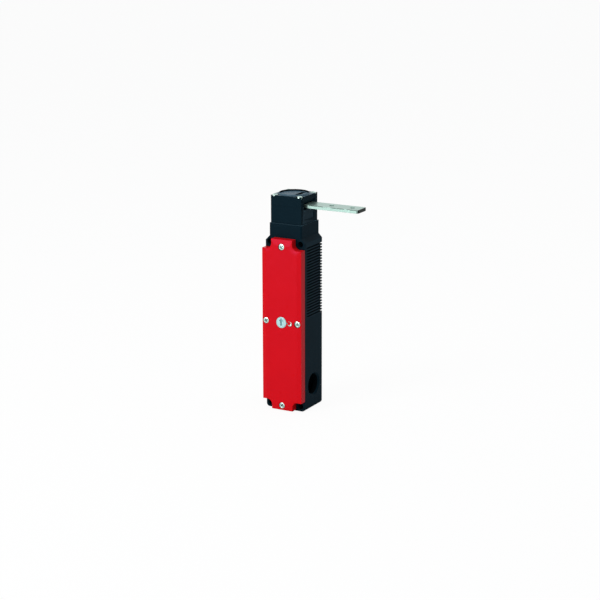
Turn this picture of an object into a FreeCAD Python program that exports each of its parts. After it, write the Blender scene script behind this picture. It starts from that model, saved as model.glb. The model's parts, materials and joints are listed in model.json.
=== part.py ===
"""Tongue interlock switch with guard locking: a slim, tall machine safety switch.

Millimetres.  X runs across the front, +Y goes back into the surface that the switch is screwed to
and +Z is up.  Every piece is drawn with z counted from the foot of the housing and y from its rear
face, and then lowered by one Placement, so that the origin is the centre of the four fixing holes.
"""
import FreeCAD, Part
import os
import Sketcher
from FreeCAD import Placement, Rotation, Vector

doc = FreeCAD.newDocument("tongue_interlock_switch")
sheet = doc.addObject("Spreadsheet::Sheet", "sizes")

SIZES = [
    # housing
    ("width", 38.8, "width of the housing and its cover"),
    ("depth", 31.4, "depth of the housing, rear face to cover joint"),
    ("wall", 2.2, "side wall of the housing"),
    ("rear_wall", 2.4, "rear wall of the housing"),
    ("neck_width", 32.0, "width of the neck under the head"),
    ("shoulder_top", 155.6, "height where the sloped shoulder meets the neck"),
    ("neck_top", 167.4, "height of the ledge that carries the head"),
    ("neck_round", 1.6, "rounding of the neck's front edges"),
    ("foot_round", 3.0, "rounding of the foot corners"),
    ("hole_low", 4.5, "height of the lower fixing holes"),
    ("hole_rise", 146.5, "fixing holes, spacing upwards"),
    ("hole_pitch", 30.0, "fixing holes, spacing across"),
    ("hole_radius", 2.65, "fixing hole for an M5 screw"),
    ("floor_top", 11.5, "height of the chamber floor"),
    ("chamber_top", 36.0, "top of the narrow wiring chamber"),
    ("chamber_half", 13.5, "half width of the wiring chamber"),
    ("bay_top", 143.5, "top of the wide bay for solenoid and contacts"),
    ("throat_radius", 6.5, "bore through the neck for the plunger"),
    ("throat_plate", 2.0, "ledge left at the top of the neck bore"),
    ("fin_count", 25, "number of cooling grooves on each side"),
    ("fin_pitch", 2.55, "spacing of the cooling grooves"),
    ("fin_low", 86.1, "height of the lowest cooling groove"),
    ("fin_slot", 1.25, "height of one cooling groove"),
    ("fin_depth", 1.1, "depth of a cooling groove"),
    ("fin_plain", 3.7, "plain strip beside the cover, before the grooves"),
    ("entry_height", 21.8, "height of the side cable entries"),
    ("entry_radius", 9.25, "core radius of the M20 cable entry"),
    ("entry_flare", 1.4, "countersink of the cable entry"),
    ("groove_gap", 0.5, "rim between the bay and the gasket groove"),
    ("groove_width", 1.0, "width of the gasket groove"),
    ("groove_depth", 0.8, "depth of the gasket groove"),
    ("pilot_radius", 1.25, "pilot hole for an M3 screw"),
    ("pilot_depth", 6.0, "depth of the pilot holes"),
    ("boss_radius", 3.0, "screw boss at the middle of each side wall"),
    # cover
    ("cover_wall", 6.5, "height of the cover's side wall"),
    ("cover_skin", 2.0, "wall thickness of the cover"),
    ("cover_low", 0.8, "height of the cover's lower end"),
    ("cover_end", 4.1, "cover above the upper fixing holes"),
    ("bevel_width", 4.2, "width of the bevel round the cover"),
    ("bevel_rise", 0.9, "rise of the bevel round the cover"),
    ("notch_radius", 4.7, "notch in the cover round each fixing hole"),
    ("screw_head", 2.75, "radius of a cover screw's head"),
    ("screw_shank", 1.5, "radius of an M3 shank"),
    ("screw_sink", 0.9, "how far a cover screw's head is let in"),
    ("screw_top", 148.6, "height of the upper cover screw"),
    ("screw_side", 15.7, "offset of the two side cover screws"),
    ("screw_foot", 5.0, "height of the lower cover screw"),
    ("release_height", 81.2, "height of the auxiliary release"),
    # auxiliary release
    ("release_radius", 5.0, "radius of the release disc"),
    ("release_thick", 2.2, "thickness of the release disc"),
    ("release_proud", 0.5, "how far the disc stands out of the cover"),
    ("release_shaft", 2.0, "radius of the release shaft"),
    ("crank_offset", 3.0, "offset of the crank pin from the shaft"),
    ("crank_radius", 1.2, "radius of the crank pin"),
    ("seal_lug_offset", 8.1, "offset of the sealing screw from the disc"),
    # head
    ("head_side", 30.0, "width and depth of the head"),
    ("head_setback", 1.2, "step from the housing front to the head front"),
    ("head_top", 192.0, "height of the head's corner pads"),
    ("head_plate", 2.0, "base plate under the head"),
    ("head_wall", 2.6, "wall of the head"),
    ("boss_rise", 0.9, "rise of the round top over the corner pads"),
    ("rim_radius", 14.1, "outer radius of the round rim on the head"),
    ("rim_width", 0.9, "width of the rim"),
    ("rim_rise", 0.9, "rise of the rim over the round top"),
    ("corner_inset", 2.9, "head screw, distance in from both faces"),
    ("corner_pocket", 3.2, "radius of the pocket round a head screw"),
    ("corner_drop", 1.0, "depth of that pocket"),
    ("seam_slot", 1.3, "width of the upright slot beside each corner"),
    ("seam_depth", 1.6, "depth of that slot"),
    ("head_screw", 2.5, "radius of a head screw's head"),
    # tongue
    ("tongue_width", 16.0, "width of the tongue"),
    ("tongue_thick", 2.9, "thickness of the tongue"),
    ("tongue_floor", 181.7, "height of the tongue's underside"),
    ("tongue_end", 66.5, "outer end of the tongue from the middle"),
    ("tongue_nose", 11.7, "inner end of the tongue from the middle"),
    ("tongue_round", 2.0, "rounding of the tongue's outer corners"),
    ("tongue_nose_cut", 1.2, "chamfer on the tongue's nose"),
    ("slot_play", 0.5, "room round the tongue in its slot"),
    ("top_slot", 4.9, "offset of the upper slot from the middle"),
    ("tongue_hole", 2.2, "radius of the tongue's fixing holes"),
    ("tongue_hole_pitch", 20.0, "spacing of the tongue's fixing holes"),
    ("tongue_hole_end", 9.5, "outer fixing hole from the tongue's end"),
    # cam and plunger
    ("cam_offset", 3.0, "cam axle, distance left of the middle"),
    ("cam_height", 175.4, "height of the cam axle"),
    ("axle_radius", 1.5, "radius of the cam axle"),
    ("cam_radius", 4.2, "radius of the round lobe"),
    ("cam_throw", 1.5, "offset of the lobe from the axle"),
    ("cam_width", 9.0, "width of the cam along its axle"),
    ("tooth_reach", 8.5, "cam tooth, axle to tip"),
    ("tooth_root", 1.5, "half width of the tooth at its root"),
    ("tooth_tip", 0.8, "half width of the tooth at its tip"),
    ("tooth_width", 5.0, "width of the tooth along the axle"),
    ("plunger_radius", 2.5, "radius of the plunger"),
    ("plunger_foot", 155.0, "height of the plunger's lower end"),
    ("collar_radius", 5.6, "radius of the plunger's collar"),
    ("collar_thick", 3.0, "thickness of the plunger's collar"),
    ("cam_play", 0.15, "gap between lobe and plunger"),
    ("spring_wire", 0.4, "radius of the spring wire"),
    ("spring_turns", 5, "turns of a spring"),
    # solenoid and lock
    ("coil_radius", 9.6, "outer radius of the solenoid winding"),
    ("coil_low", 94.7, "underside of the bobbin"),
    ("coil_tall", 38.0, "height of the bobbin"),
    ("yoke_half", 13.0, "half width of the solenoid yoke"),
    ("yoke_deep", 9.9, "half depth of the solenoid yoke"),
    ("yoke_plate", 2.6, "thickness of the yoke"),
    ("armature_radius", 4.4, "radius of the armature"),
    ("armature_low", 90.0, "underside of the armature at rest"),
    ("armature_tall", 36.0, "length of the armature"),
    ("bolt_radius", 1.5, "radius of the lock pin"),
    ("bolt_gap", 3.0, "lock pin to plunger foot at rest"),
    # contacts
    ("block_half", 17.0, "half width of the contact block"),
    ("block_tall", 36.5, "height of the contact block"),
    ("block_front", 26.5, "front of the contact block from the rear face"),
    ("block_rear", 13.0, "rear of the contact block from the rear face"),
    ("slide_thick", 2.0, "thickness of the control slide"),
    ("slide_half", 4.0, "half width of the control slide"),
    # fits
    ("fit", 0.06, "running clearance on the radius"),
    ("seat", 0.2, "clearance where a loose piece is seated"),
]


class Size:
    """A length that holds its number and the sheet expression that gives it."""

    def __init__(self, number, text):
        self.number = float(number)
        self.text = text

    @staticmethod
    def of(value):
        return value if isinstance(value, Size) else Size(value, repr(float(value)))

    def __add__(self, other):
        other = Size.of(other)
        return Size(self.number + other.number, f"({self.text} + {other.text})")

    def __radd__(self, other):
        return Size.of(other) + self

    def __sub__(self, other):
        other = Size.of(other)
        return Size(self.number - other.number, f"({self.text} - {other.text})")

    def __rsub__(self, other):
        return Size.of(other) - self

    def __mul__(self, other):
        other = Size.of(other)
        return Size(self.number * other.number, f"({self.text} * {other.text})")

    def __rmul__(self, other):
        return Size.of(other) * self

    def __truediv__(self, other):
        other = Size.of(other)
        return Size(self.number / other.number, f"({self.text} / {other.text})")

    def __neg__(self):
        return Size(-self.number, f"(0 - {self.text})")


class Sheet:
    """The driving dimensions by name."""


s = Sheet()
for row, (alias, number, note) in enumerate(SIZES, start=1):
    sheet.set(f"A{row}", note)
    sheet.set(f"B{row}", str(number))
    sheet.setAlias(f"B{row}", alias)
    setattr(s, alias, Size(number, f"sizes.{alias}"))
doc.recompute()

# Derived lengths that several pieces share.
MIDDLE = -(s.depth - s.head_setback - s.head_side / 2)      # y of head, plunger and solenoid axis
FRONT = -s.depth                                            # y of the housing's front plane
COVER_FACE = FRONT - s.cover_wall - s.bevel_rise            # y of the cover's flat front
HOLE_HALF = s.hole_pitch / 2
HOLE_TOP = s.hole_low + s.hole_rise
ORIGIN_HEIGHT = s.hole_low + s.hole_rise / 2
EAR_LOW = s.hole_low + s.notch_radius                       # the cover's lower shoulder
EAR_TOP = HOLE_TOP - s.notch_radius                         # the cover's upper shoulder
TAB_HALF = HOLE_HALF - s.notch_radius                       # half width of the cover's end tabs
COVER_TOP = HOLE_TOP + s.cover_end
ENTRY_Y = -s.depth / 2 + 0.7
TONGUE_TOP = s.tongue_floor + s.tongue_thick
ROUND_TOP = s.head_top + s.boss_rise
PLATE_TOP = s.neck_top + s.head_plate
PLUNGER_TIP = s.cam_height + s.cam_throw * 0.866 - s.cam_radius - s.cam_play

AXES = {"X": Rotation(Vector(0, 1, 0), 90), "Y": Rotation(Vector(1, 0, 0), -90), "Z": Rotation()}
pieces = []


# ---- small helpers -------------------------------------------------------------------------
def bind(thing, path, size):
    """Tie one property to the sheet."""
    thing.setExpression(path, Size.of(size).text)


def place(thing, x, y, z, turn=Rotation()):
    """Put an object at a place that follows the sheet."""
    thing.Placement = Placement(Vector(), turn)
    for axis, size in zip("xyz", (x, y, z)):
        bind(thing, f"Placement.Base.{axis}", size)


def box(name, x, y, z):
    """A block between two values on each axis."""
    thing = doc.addObject("Part::Box", name)
    for side, (low, high) in zip(("Length", "Width", "Height"), (x, y, z)):
        bind(thing, side, Size.of(high) - low)
    place(thing, x[0], y[0], z[0])
    return thing


def rod(name, axis, centre, radius, low, high):
    """A cylinder along one axis; centre gives the other two coordinates in order."""
    thing = doc.addObject("Part::Cylinder", name)
    bind(thing, "Radius", radius)
    bind(thing, "Height", Size.of(high) - low)
    spot = list(centre)
    spot.insert("XYZ".index(axis), low)
    place(thing, *spot, turn=AXES[axis])
    return thing


def cone(name, axis, centre, radii, low, high):
    """A cone frustum along one axis, its two radii given from low to high."""
    thing = doc.addObject("Part::Cone", name)
    bind(thing, "Radius1", radii[0])
    bind(thing, "Radius2", radii[1])
    bind(thing, "Height", Size.of(high) - low)
    spot = list(centre)
    spot.insert("XYZ".index(axis), low)
    place(thing, *spot, turn=AXES[axis])
    return thing


def fuse(name, *things):
    joined = doc.addObject("Part::MultiFuse", name)
    joined.Shapes = list(things)
    joined.Refine = True
    return joined


def group(name, *things):
    """Like pieces that share a node but stay separate solids."""
    together = doc.addObject("Part::Compound", name)
    together.Links = list(things)
    return together


def cut(name, base, *tools):
    rest = doc.addObject("Part::Cut", name)
    rest.Base = base
    rest.Tool = tools[0] if len(tools) == 1 else fuse(name + "_tools", *tools)
    rest.Refine = True
    return rest


def finish(thing, label):
    """Name a sub-part and lower it into the frame whose origin is the fixing pattern."""
    thing.Label = label
    bind(thing, "Placement.Base.z", -ORIGIN_HEIGHT)
    pieces.append(thing)
    return thing


def new_body(name):
    return doc.addObject("PartDesign::Body", name)


def origin_part(body, role):
    return [part for part in body.Origin.OriginFeatures if part.Role == role][0]


def new_sketch(body, name, plane, level):
    """A sketch on an origin plane of its body, moved along that plane's normal by level."""
    sketch = body.newObject("Sketcher::SketchObject", name)
    sketch.AttachmentSupport = [(origin_part(body, plane + "_Plane"), "")]
    sketch.MapMode = "FlatFace"
    bind(sketch, "AttachmentOffset.Base.z", level)
    return sketch


def pin_point(sketch, curve, point, spot):
    """Hold one sketch point at sheet-driven coordinates from the sketch origin."""
    for way, axis, size in zip(("DistanceX", "DistanceY"), (-2, -1), spot):
        size = Size.of(size)
        if size.text == repr(0.0):
            sketch.addConstraint(Sketcher.Constraint("PointOnObject", curve, point, axis))
        else:
            index = sketch.addConstraint(
                Sketcher.Constraint(way, -1, 1, curve, point, size.number))
            sketch.setExpression(f"Constraints[{index}]", size.text)


def add_outline(sketch, corners):
    """A closed outline of straight runs through sheet-driven corners."""
    first = sketch.GeometryCount
    spots = [Vector(Size.of(u).number, Size.of(v).number, 0) for u, v in corners]
    count = len(spots)
    for index, spot in enumerate(spots):
        sketch.addGeometry(Part.LineSegment(spot, spots[(index + 1) % count]), False)
    for index in range(count):
        after = first + (index + 1) % count
        sketch.addConstraint(Sketcher.Constraint("Coincident", first + index, 2, after, 1))
    for index, corner in enumerate(corners):
        pin_point(sketch, first + index, 1, corner)


def add_circle(sketch, spot, radius):
    centre = Vector(Size.of(spot[0]).number, Size.of(spot[1]).number, 0)
    radius = Size.of(radius)
    curve = sketch.addGeometry(Part.Circle(centre, Vector(0, 0, 1), radius.number), False)
    index = sketch.addConstraint(Sketcher.Constraint("Radius", curve, radius.number))
    sketch.setExpression(f"Constraints[{index}]", radius.text)
    pin_point(sketch, curve, 3, spot)


def rectangle(u, v):
    return [(u[0], v[0]), (u[1], v[0]), (u[1], v[1]), (u[0], v[1])]


def pad(body, sketch, length, name):
    feature = body.newObject("PartDesign::Pad", name)
    feature.Profile = sketch
    bind(feature, "Length", length)
    return feature


def pocket(body, sketch, depth, name, along_normal=False):
    """A cut against the sketch's normal, or along it; it must take material away."""
    doc.recompute()
    before = body.Shape.Volume
    feature = body.newObject("PartDesign::Pocket", name)
    feature.Profile = sketch
    bind(feature, "Length", depth)
    feature.Reversed = along_normal
    doc.recompute()
    if not body.Shape.Volume < before:
        raise RuntimeError(f"{name} cuts nothing")
    return feature


def near(value, size):
    return abs(value - Size.of(size).number) < 1e-4


def edges_of(feature, along, test):
    """Names of a feature's edges, along one axis or round, whose ends pass a test."""
    names = []
    for index, edge in enumerate(feature.Shape.Edges, start=1):
        ends = [vertex.Point for vertex in edge.Vertexes]
        if along:
            run = ends[-1] - ends[0]
            if run.Length < 1e-6 or abs(getattr(run, along.lower())) < 0.999 * run.Length:
                continue
        if all(test(end) for end in ends):
            names.append(f"Edge{index}")
    return names


def soften(body, kind, along, test, size, name):
    """A Fillet or Chamfer on those edges of the body so far that pass a test."""
    doc.recompute()
    base = body.Tip
    names = edges_of(base, along, test)
    if not names:
        raise RuntimeError(f"{name} finds no edge")
    made = body.newObject("PartDesign::" + kind, name)
    made.Base = (base, names)
    bind(made, "Radius" if kind == "Fillet" else "Size", size)
    doc.recompute()
    return made


def spring(name, centre, radius, low, high):
    """A round-wire coil spring between two heights."""
    tall = Size.of(high) - low - 2 * s.spring_wire
    helix = doc.addObject("Part::Helix", name + "_line")
    bind(helix, "Pitch", tall / s.spring_turns)
    bind(helix, "Height", tall)
    bind(helix, "Radius", radius)
    wire = doc.addObject("Part::Circle", name + "_wire")
    bind(wire, "Radius", s.spring_wire)
    place(wire, radius, 0, 0, turn=Rotation(Vector(1, 0, 0), 90))
    coil = doc.addObject("Part::Sweep", name)
    coil.Sections = [wire]
    coil.Spine = (helix, ["Edge1"])
    coil.Solid = True
    coil.Frenet = True
    bind(coil, "Placement.Base.x", centre[0])
    bind(coil, "Placement.Base.y", centre[1])
    coil.Label = name
    bind(coil, "Placement.Base.z", Size.of(low) + s.spring_wire - ORIGIN_HEIGHT)
    pieces.append(coil)
    return coil


# ---- housing and what closes it --------------------------------------------------------------
def housing():
    """One moulding: ribbed body with four screw columns, wiring chamber, shoulder and neck."""
    body = new_body("housing")
    half, neck = s.width / 2, s.neck_width / 2
    slope_foot = s.shoulder_top - (half - neck)
    front = new_sketch(body, "housing_front", "XZ", 0)
    add_outline(front, [(-half, 0), (half, 0), (half, slope_foot), (neck, s.shoulder_top),
                        (neck, s.neck_top), (-neck, s.neck_top), (-neck, s.shoulder_top),
                        (-half, slope_foot)])
    pad(body, front, s.depth, "housing_block")
    soften(body, "Fillet", "Y", lambda p: near(abs(p.x), half) and near(p.z, 0),
           s.foot_round, "housing_foot")
    soften(body, "Fillet", "Z", lambda p: near(abs(p.x), neck) and near(p.y, FRONT),
           s.neck_round, "housing_neck")
    bay = new_sketch(body, "bay_outline", "XZ", s.depth)
    inner = half - s.wall
    add_outline(bay, [(-s.chamber_half, s.floor_top), (s.chamber_half, s.floor_top),
                      (s.chamber_half, s.chamber_top), (inner, s.chamber_top),
                      (inner, s.bay_top), (-inner, s.bay_top), (-inner, s.chamber_top),
                      (-s.chamber_half, s.chamber_top)])
    pocket(body, bay, s.depth - s.rear_wall, "bay")
    bosses = new_sketch(body, "boss_outline", "XZ", s.rear_wall)
    for side in (-1, 1):
        reach = inner - s.screw_side + s.fit
        add_outline(bosses, rectangle(
            sorted([side * (s.screw_side - s.boss_radius), side * (s.screw_side + reach)],
                   key=lambda size: size.number),
            (s.release_height - s.boss_radius, s.release_height + s.boss_radius)))
    pad(body, bosses, s.depth - s.rear_wall, "bosses")
    rails = new_sketch(body, "rail_outline", "XZ", s.rear_wall)
    for x in (-1, 1):
        span = sorted([x * (s.slide_half + 3), x * (s.yoke_half - 1)],
                      key=lambda size: size.number)
        add_outline(rails, rectangle(span, (YOKE_LOW, YOKE_TOP)))
    pad(body, rails, -(MIDDLE + s.yoke_deep) - s.rear_wall, "solenoid_rails")
    throat = new_sketch(body, "throat_outline", "XY", s.neck_top - s.throat_plate)
    add_circle(throat, (0, MIDDLE), s.throat_radius)
    pocket(body, throat, s.neck_top - s.throat_plate - s.bay_top + 1, "throat")
    mouth = new_sketch(body, "mouth_outline", "XY", s.neck_top)
    add_circle(mouth, (0, MIDDLE), s.plunger_radius + 3 * s.seat)
    pocket(body, mouth, s.throat_plate + 1, "mouth")
    holes = new_sketch(body, "fixing_outline", "XZ", s.depth)
    for x in (-HOLE_HALF, HOLE_HALF):
        for z in (s.hole_low, HOLE_TOP):
            add_circle(holes, (x, z), s.hole_radius)
    pocket(body, holes, s.depth, "fixing_holes")
    pilots = new_sketch(body, "pilot_outline", "XZ", s.depth)
    for x, z in COVER_SCREWS:
        add_circle(pilots, (x, z), s.pilot_radius)
    pocket(body, pilots, s.pilot_depth, "pilots")
    tops = new_sketch(body, "head_pilot_outline", "XY", s.neck_top)
    for x, y in HEAD_SCREWS:
        add_circle(tops, (x, y), s.pilot_radius)
    pocket(body, tops, s.pilot_depth, "head_pilots")
    seal = new_sketch(body, "groove_outline", "XZ", s.depth)
    for outline in groove_outlines(0):
        add_outline(seal, outline)
    pocket(body, seal, s.groove_depth, "gasket_groove")
    for side, name in ((1, "right"), (-1, "left")):
        entry = new_sketch(body, f"entry_{name}_outline", "YZ", side * half)
        add_circle(entry, (ENTRY_Y, s.entry_height), s.entry_radius)
        pocket(body, entry, half - s.chamber_half + 1, f"entry_{name}", side < 0)
        soften(body, "Chamfer", None, lambda p, x=side * half: near(p.x, x) and inside_entry(p),
               s.entry_flare, f"flare_{name}")
    under = new_sketch(body, "entry_below_outline", "XY", 0)
    add_circle(under, (0, ENTRY_Y), s.entry_radius)
    pocket(body, under, s.floor_top + 1, "entry_below", True)
    soften(body, "Chamfer", None, lambda p: near(p.z, 0) and near(
        ((p.y - ENTRY_Y.number) ** 2 + p.x ** 2) ** 0.5, s.entry_radius),
        s.entry_flare, "flare_below")
    grooves = []
    for side, name in ((1, "right"), (-1, "left")):
        rib = new_sketch(body, f"fin_{name}_outline", "YZ", side * half)
        add_outline(rib, rectangle((-(s.depth - s.fin_plain), 1),
                                   (s.fin_low - s.fin_slot / 2, s.fin_low + s.fin_slot / 2)))
        grooves.append(pocket(body, rib, s.fin_depth, f"fin_{name}", side < 0))
    fins = body.newObject("PartDesign::LinearPattern", "fins")
    fins.Originals = grooves
    fins.Direction = (origin_part(body, "Z_Axis"), [""])
    bind(fins, "Length", s.fin_pitch * (s.fin_count - 1))
    bind(fins, "Occurrences", s.fin_count)
    body.Tip = fins
    return finish(body, "housing")


def inside_entry(point):
    """Whether a point lies on the rim of a side cable entry."""
    reach = ((point.y - ENTRY_Y.number) ** 2 + (point.z - s.entry_height.number) ** 2) ** 0.5
    return near(reach, s.entry_radius)


def groove_outlines(play):
    """The two rectangles of the gasket groove, or of the gasket with some play in it."""
    inner = s.width / 2 - s.wall + s.groove_gap
    outer = inner + s.groove_width
    low, high = s.floor_top - s.groove_gap, s.bay_top + s.groove_gap
    big, small = outer - play, inner + play
    return [rectangle((-big, big), (low - s.groove_width + play, high + s.groove_width - play)),
            rectangle((-small, small), (low - play, high + play))]


COVER_SCREWS = [(Size.of(0), s.screw_top), (Size.of(0), s.screw_foot),
                (-s.screw_side, s.release_height), (s.screw_side, s.release_height)]
SCREW_INSET = s.head_side / 2 - s.corner_inset
HEAD_SCREWS = [(x, MIDDLE + y) for x in (-SCREW_INSET, SCREW_INSET)
               for y in (-SCREW_INSET, SCREW_INSET)]


def cover_gasket():
    """Square cord seal lying in its groove in the housing's front rim."""
    body = new_body("cover_gasket")
    ring = new_sketch(body, "gasket_outline", "XZ", s.depth - s.groove_depth)
    for outline in groove_outlines(s.fit):
        add_outline(ring, outline)
    pad(body, ring, s.groove_depth, "gasket_ring")
    return finish(body, "cover_gasket")


def cover():
    """Hollow lid with a bevel on all four sides, notched round the four fixing holes."""
    half = s.width / 2
    wall_face = FRONT - s.cover_wall
    skirt = box("cover_skirt", (-half, half), (wall_face, FRONT), (s.cover_low, COVER_TOP))
    bevel = doc.addObject("Part::Wedge", "cover_bevel")
    flat = half - s.bevel_width
    for name, size in (("Ymin", 0), ("Ymax", s.bevel_rise), ("Xmin", -flat), ("Xmax", flat),
                       ("Zmin", s.cover_low + s.bevel_width), ("Zmax", COVER_TOP - s.bevel_width),
                       ("X2min", -half), ("X2max", half), ("Z2min", s.cover_low),
                       ("Z2max", COVER_TOP)):
        bind(bevel, name, size)
    bind(bevel, "Placement.Base.y", COVER_FACE)
    tools = []
    beyond = 5
    for x in (-1, 1):
        side = "right" if x > 0 else "left"
        span = sorted([x * HOLE_HALF, x * (half + beyond)], key=lambda size: size.number)
        strip = sorted([x * TAB_HALF, x * (half + beyond)], key=lambda size: size.number)
        deep = (COVER_FACE - 1, FRONT + 1)
        for end, z, ear, out in (("low", s.hole_low, EAR_LOW, s.cover_low - beyond),
                                 ("top", HOLE_TOP, EAR_TOP, COVER_TOP + beyond)):
            up = sorted([z, out], key=lambda size: size.number)
            side_up = sorted([ear, out], key=lambda size: size.number)
            tools += [rod(f"notch_{end}_{side}", "Y", (x * HOLE_HALF, z), s.notch_radius, *deep),
                      box(f"notch_in_{end}_{side}", strip, deep, up),
                      box(f"notch_out_{end}_{side}", span, deep, side_up)]
    for number, (x, z) in enumerate(COVER_SCREWS):
        tools += [rod(f"cover_hole_{number}", "Y", (x, z), s.screw_shank + s.seat,
                      COVER_FACE - 1, FRONT + 1),
                  rod(f"cover_sink_{number}", "Y", (x, z), s.screw_head + s.seat,
                      COVER_FACE - 1, COVER_FACE + s.screw_sink + s.bevel_rise)]
    tools += [rod("release_hole", "Y", (0, s.release_height), s.release_radius + s.fit,
                  COVER_FACE - 1, COVER_FACE + s.release_thick - s.release_proud),
              rod("release_bore", "Y", (0, s.release_height), s.release_shaft + s.fit,
                  COVER_FACE - 1, FRONT + 1),
              rod("lug_hole", "Y", (s.seal_lug_offset, s.release_height), s.screw_shank * 0.8,
                  COVER_FACE - 1, FRONT + 1)]
    hollow = cut("cover_hollow",
                 box("cover_room", (-half + s.cover_skin, half - s.cover_skin),
                     (wall_face + s.cover_skin, FRONT + 1),
                     (s.floor_top, s.bay_top)),
                 *[box(f"cover_land_{side}", sorted([side * (s.screw_side - s.boss_radius),
                                                     side * half], key=lambda size: size.number),
                       (wall_face, FRONT + 2),
                       (s.release_height - s.boss_radius, s.release_height + s.boss_radius))
                   for side in (-1, 1)],
                 rod("cover_hub", "Y", (0, s.release_height), s.release_radius + s.cover_skin,
                     wall_face, FRONT - s.cover_skin))
    lid = cut("cover_cut", fuse("cover_block", skirt, bevel), hollow, *tools)
    return finish(lid, "cover")


def cover_screws():
    """Four cross-recess screws that hold the cover, let in a little."""
    screws = []
    for number, (x, z) in enumerate(COVER_SCREWS):
        seat = COVER_FACE + s.screw_sink + s.bevel_rise
        head = rod(f"cs_head_{number}", "Y", (x, z), s.screw_head, seat - s.screw_sink - 0.6, seat)
        shank = rod(f"cs_shank_{number}", "Y", (x, z), s.pilot_radius - s.fit, seat,
                    FRONT + s.pilot_depth - s.seat)
        recess = [box(f"cs_slot_{way}_{number}", (x - a, x + a),
                      (seat - s.screw_sink - 1, seat - s.screw_sink + 0.5), (z - b, z + b))
                  for way, a, b in (("x", 1.5, 0.35), ("z", 0.35, 1.5))]
        screws.append(cut(f"cs_{number}", fuse(f"cs_solid_{number}", head, shank), *recess))
    return finish(group("cover_screws_all", *screws), "cover_screws")


def plug(name, axis, spot, out, inward):
    """Flush M20 blanking plug with a hexagon socket, its countersunk edge in the entry's flare."""
    length = 6.5
    face, tail = out + inward * s.seat, out + inward * length
    low, high = sorted([face, tail], key=lambda size: size.number)
    barrel = rod(name + "_barrel", axis, spot, s.entry_radius - s.fit, low, high)
    edge = out + inward * (s.entry_flare - s.seat)
    low, high = sorted([face, edge], key=lambda size: size.number)
    radii = [s.entry_radius + s.entry_flare - 2 * s.seat, s.entry_radius - s.fit]
    if inward < 0:
        radii.reverse()
    rim = cone(name + "_rim", axis, spot, radii, low, high)
    socket = doc.addObject("Part::Prism", name + "_socket")
    socket.Polygon = 6
    bind(socket, "Circumradius", s.entry_radius / 2)
    bind(socket, "Height", length)
    ends = sorted([face - inward * 2, face - inward * 2 + inward * length],
                  key=lambda size: size.number)
    place_spot = list(spot)
    place_spot.insert("XYZ".index(axis), ends[0])
    place(socket, *place_spot, turn=AXES[axis])
    return cut(name + "_cut", fuse(name + "_solid", barrel, rim), socket)


def plugs():
    """The two cable entries that are not used are closed."""
    finish(plug("plug_left", "X", (ENTRY_Y, s.entry_height), -s.width / 2, 1), "plug_left")
    finish(plug("plug_below", "Z", (0, ENTRY_Y), Size.of(0), 1), "plug_below")


# ---- auxiliary release -----------------------------------------------------------------------
CRANK_RISE = s.crank_offset * 0.70711                       # sine and cosine of 45 degrees
DISC_FACE = COVER_FACE - s.release_proud
DISC_BACK = DISC_FACE + s.release_thick
FORK_HALF = 1.5                                             # half thickness of the lock's fork


def release():
    """Disc with a pointer slot, its shaft with a crank pin, the clip and the ring seal."""
    body = new_body("release_disc")
    disc = new_sketch(body, "disc_outline", "XZ", -DISC_BACK)
    add_circle(disc, (0, s.release_height), s.release_radius)
    pad(body, disc, s.release_thick, "disc")
    soften(body, "Chamfer", None, lambda p: near(p.y, DISC_FACE), 0.4, "disc_edge")
    pointer = new_sketch(body, "pointer_outline", "XZ", -DISC_FACE)
    z, stem, wing, reach = s.release_height, 0.55, 1.7, 3.3
    add_outline(pointer, [(-stem, z - reach), (stem, z - reach), (stem, z + 0.4),
                          (wing, z + 0.4), (0, z + reach), (-wing, z + 0.4), (-stem, z + 0.4)])
    pocket(body, pointer, 0.8, "pointer")
    finish(body, "release_disc")

    at = (0, s.release_height)
    web = MIDDLE - FORK_HALF - 2
    shaft = rod("release_rod", "Y", at, s.release_shaft, DISC_BACK, web)
    crank = rod("release_web", "Y", at, s.crank_offset + s.crank_radius, web - 1.4, web)
    pin = rod("release_pin", "Y", (CRANK_RISE, s.release_height + CRANK_RISE), s.crank_radius,
              web, MIDDLE + FORK_HALF)
    finish(fuse("release_shaft_solid", shaft, crank, pin), "release_shaft")

    hub_end = FRONT - s.cover_skin
    seal = doc.addObject("Part::Torus", "release_seal")
    ring = 0.6
    bind(seal, "Radius1", s.release_shaft + ring + s.seat / 2)
    bind(seal, "Radius2", ring)
    place(seal, 0, hub_end + ring, s.release_height, turn=AXES["Y"])
    bind(seal, "Placement.Base.z", s.release_height - ORIGIN_HEIGHT)
    seal.Label = "release_seal"
    pieces.append(seal)
    clip_face = hub_end + 2 * ring + s.seat / 2
    clip = cut("release_clip_cut",
               rod("clip_disc", "Y", at, s.release_shaft * 2, clip_face, clip_face + 0.8),
               rod("clip_bore", "Y", at, s.release_shaft, clip_face - 1, clip_face + 2))
    finish(clip, "release_clip")

    x = s.seal_lug_offset
    head = rod("lug_head", "Y", (x, s.release_height), s.screw_shank, COVER_FACE - 1.3, COVER_FACE)
    shank = rod("lug_shank", "Y", (x, s.release_height), s.screw_shank * 0.8 - s.fit,
                COVER_FACE, FRONT - s.cover_skin)
    eye = rod("lug_eye", "Z", (x, COVER_FACE - 0.75), 0.4, s.release_height - 3,
              s.release_height + 3)
    finish(cut("lug_cut", fuse("lug_solid", head, shank), eye), "seal_screw")


# ---- head and tongue -------------------------------------------------------------------------
SLOT_LOW = s.tongue_floor - s.slot_play
SLOT_HIGH = TONGUE_TOP + s.slot_play
SLOT_HALF = s.tongue_width / 2 + s.slot_play
HEAD_HALF = s.head_side / 2
ROOM_HALF = HEAD_HALF - s.head_wall                         # half width of the room in the head
ROOM_ARM = SCREW_INSET - s.head_screw - 0.3                 # half width between screw columns
ROOM_TOP = s.head_top - 3.4


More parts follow.
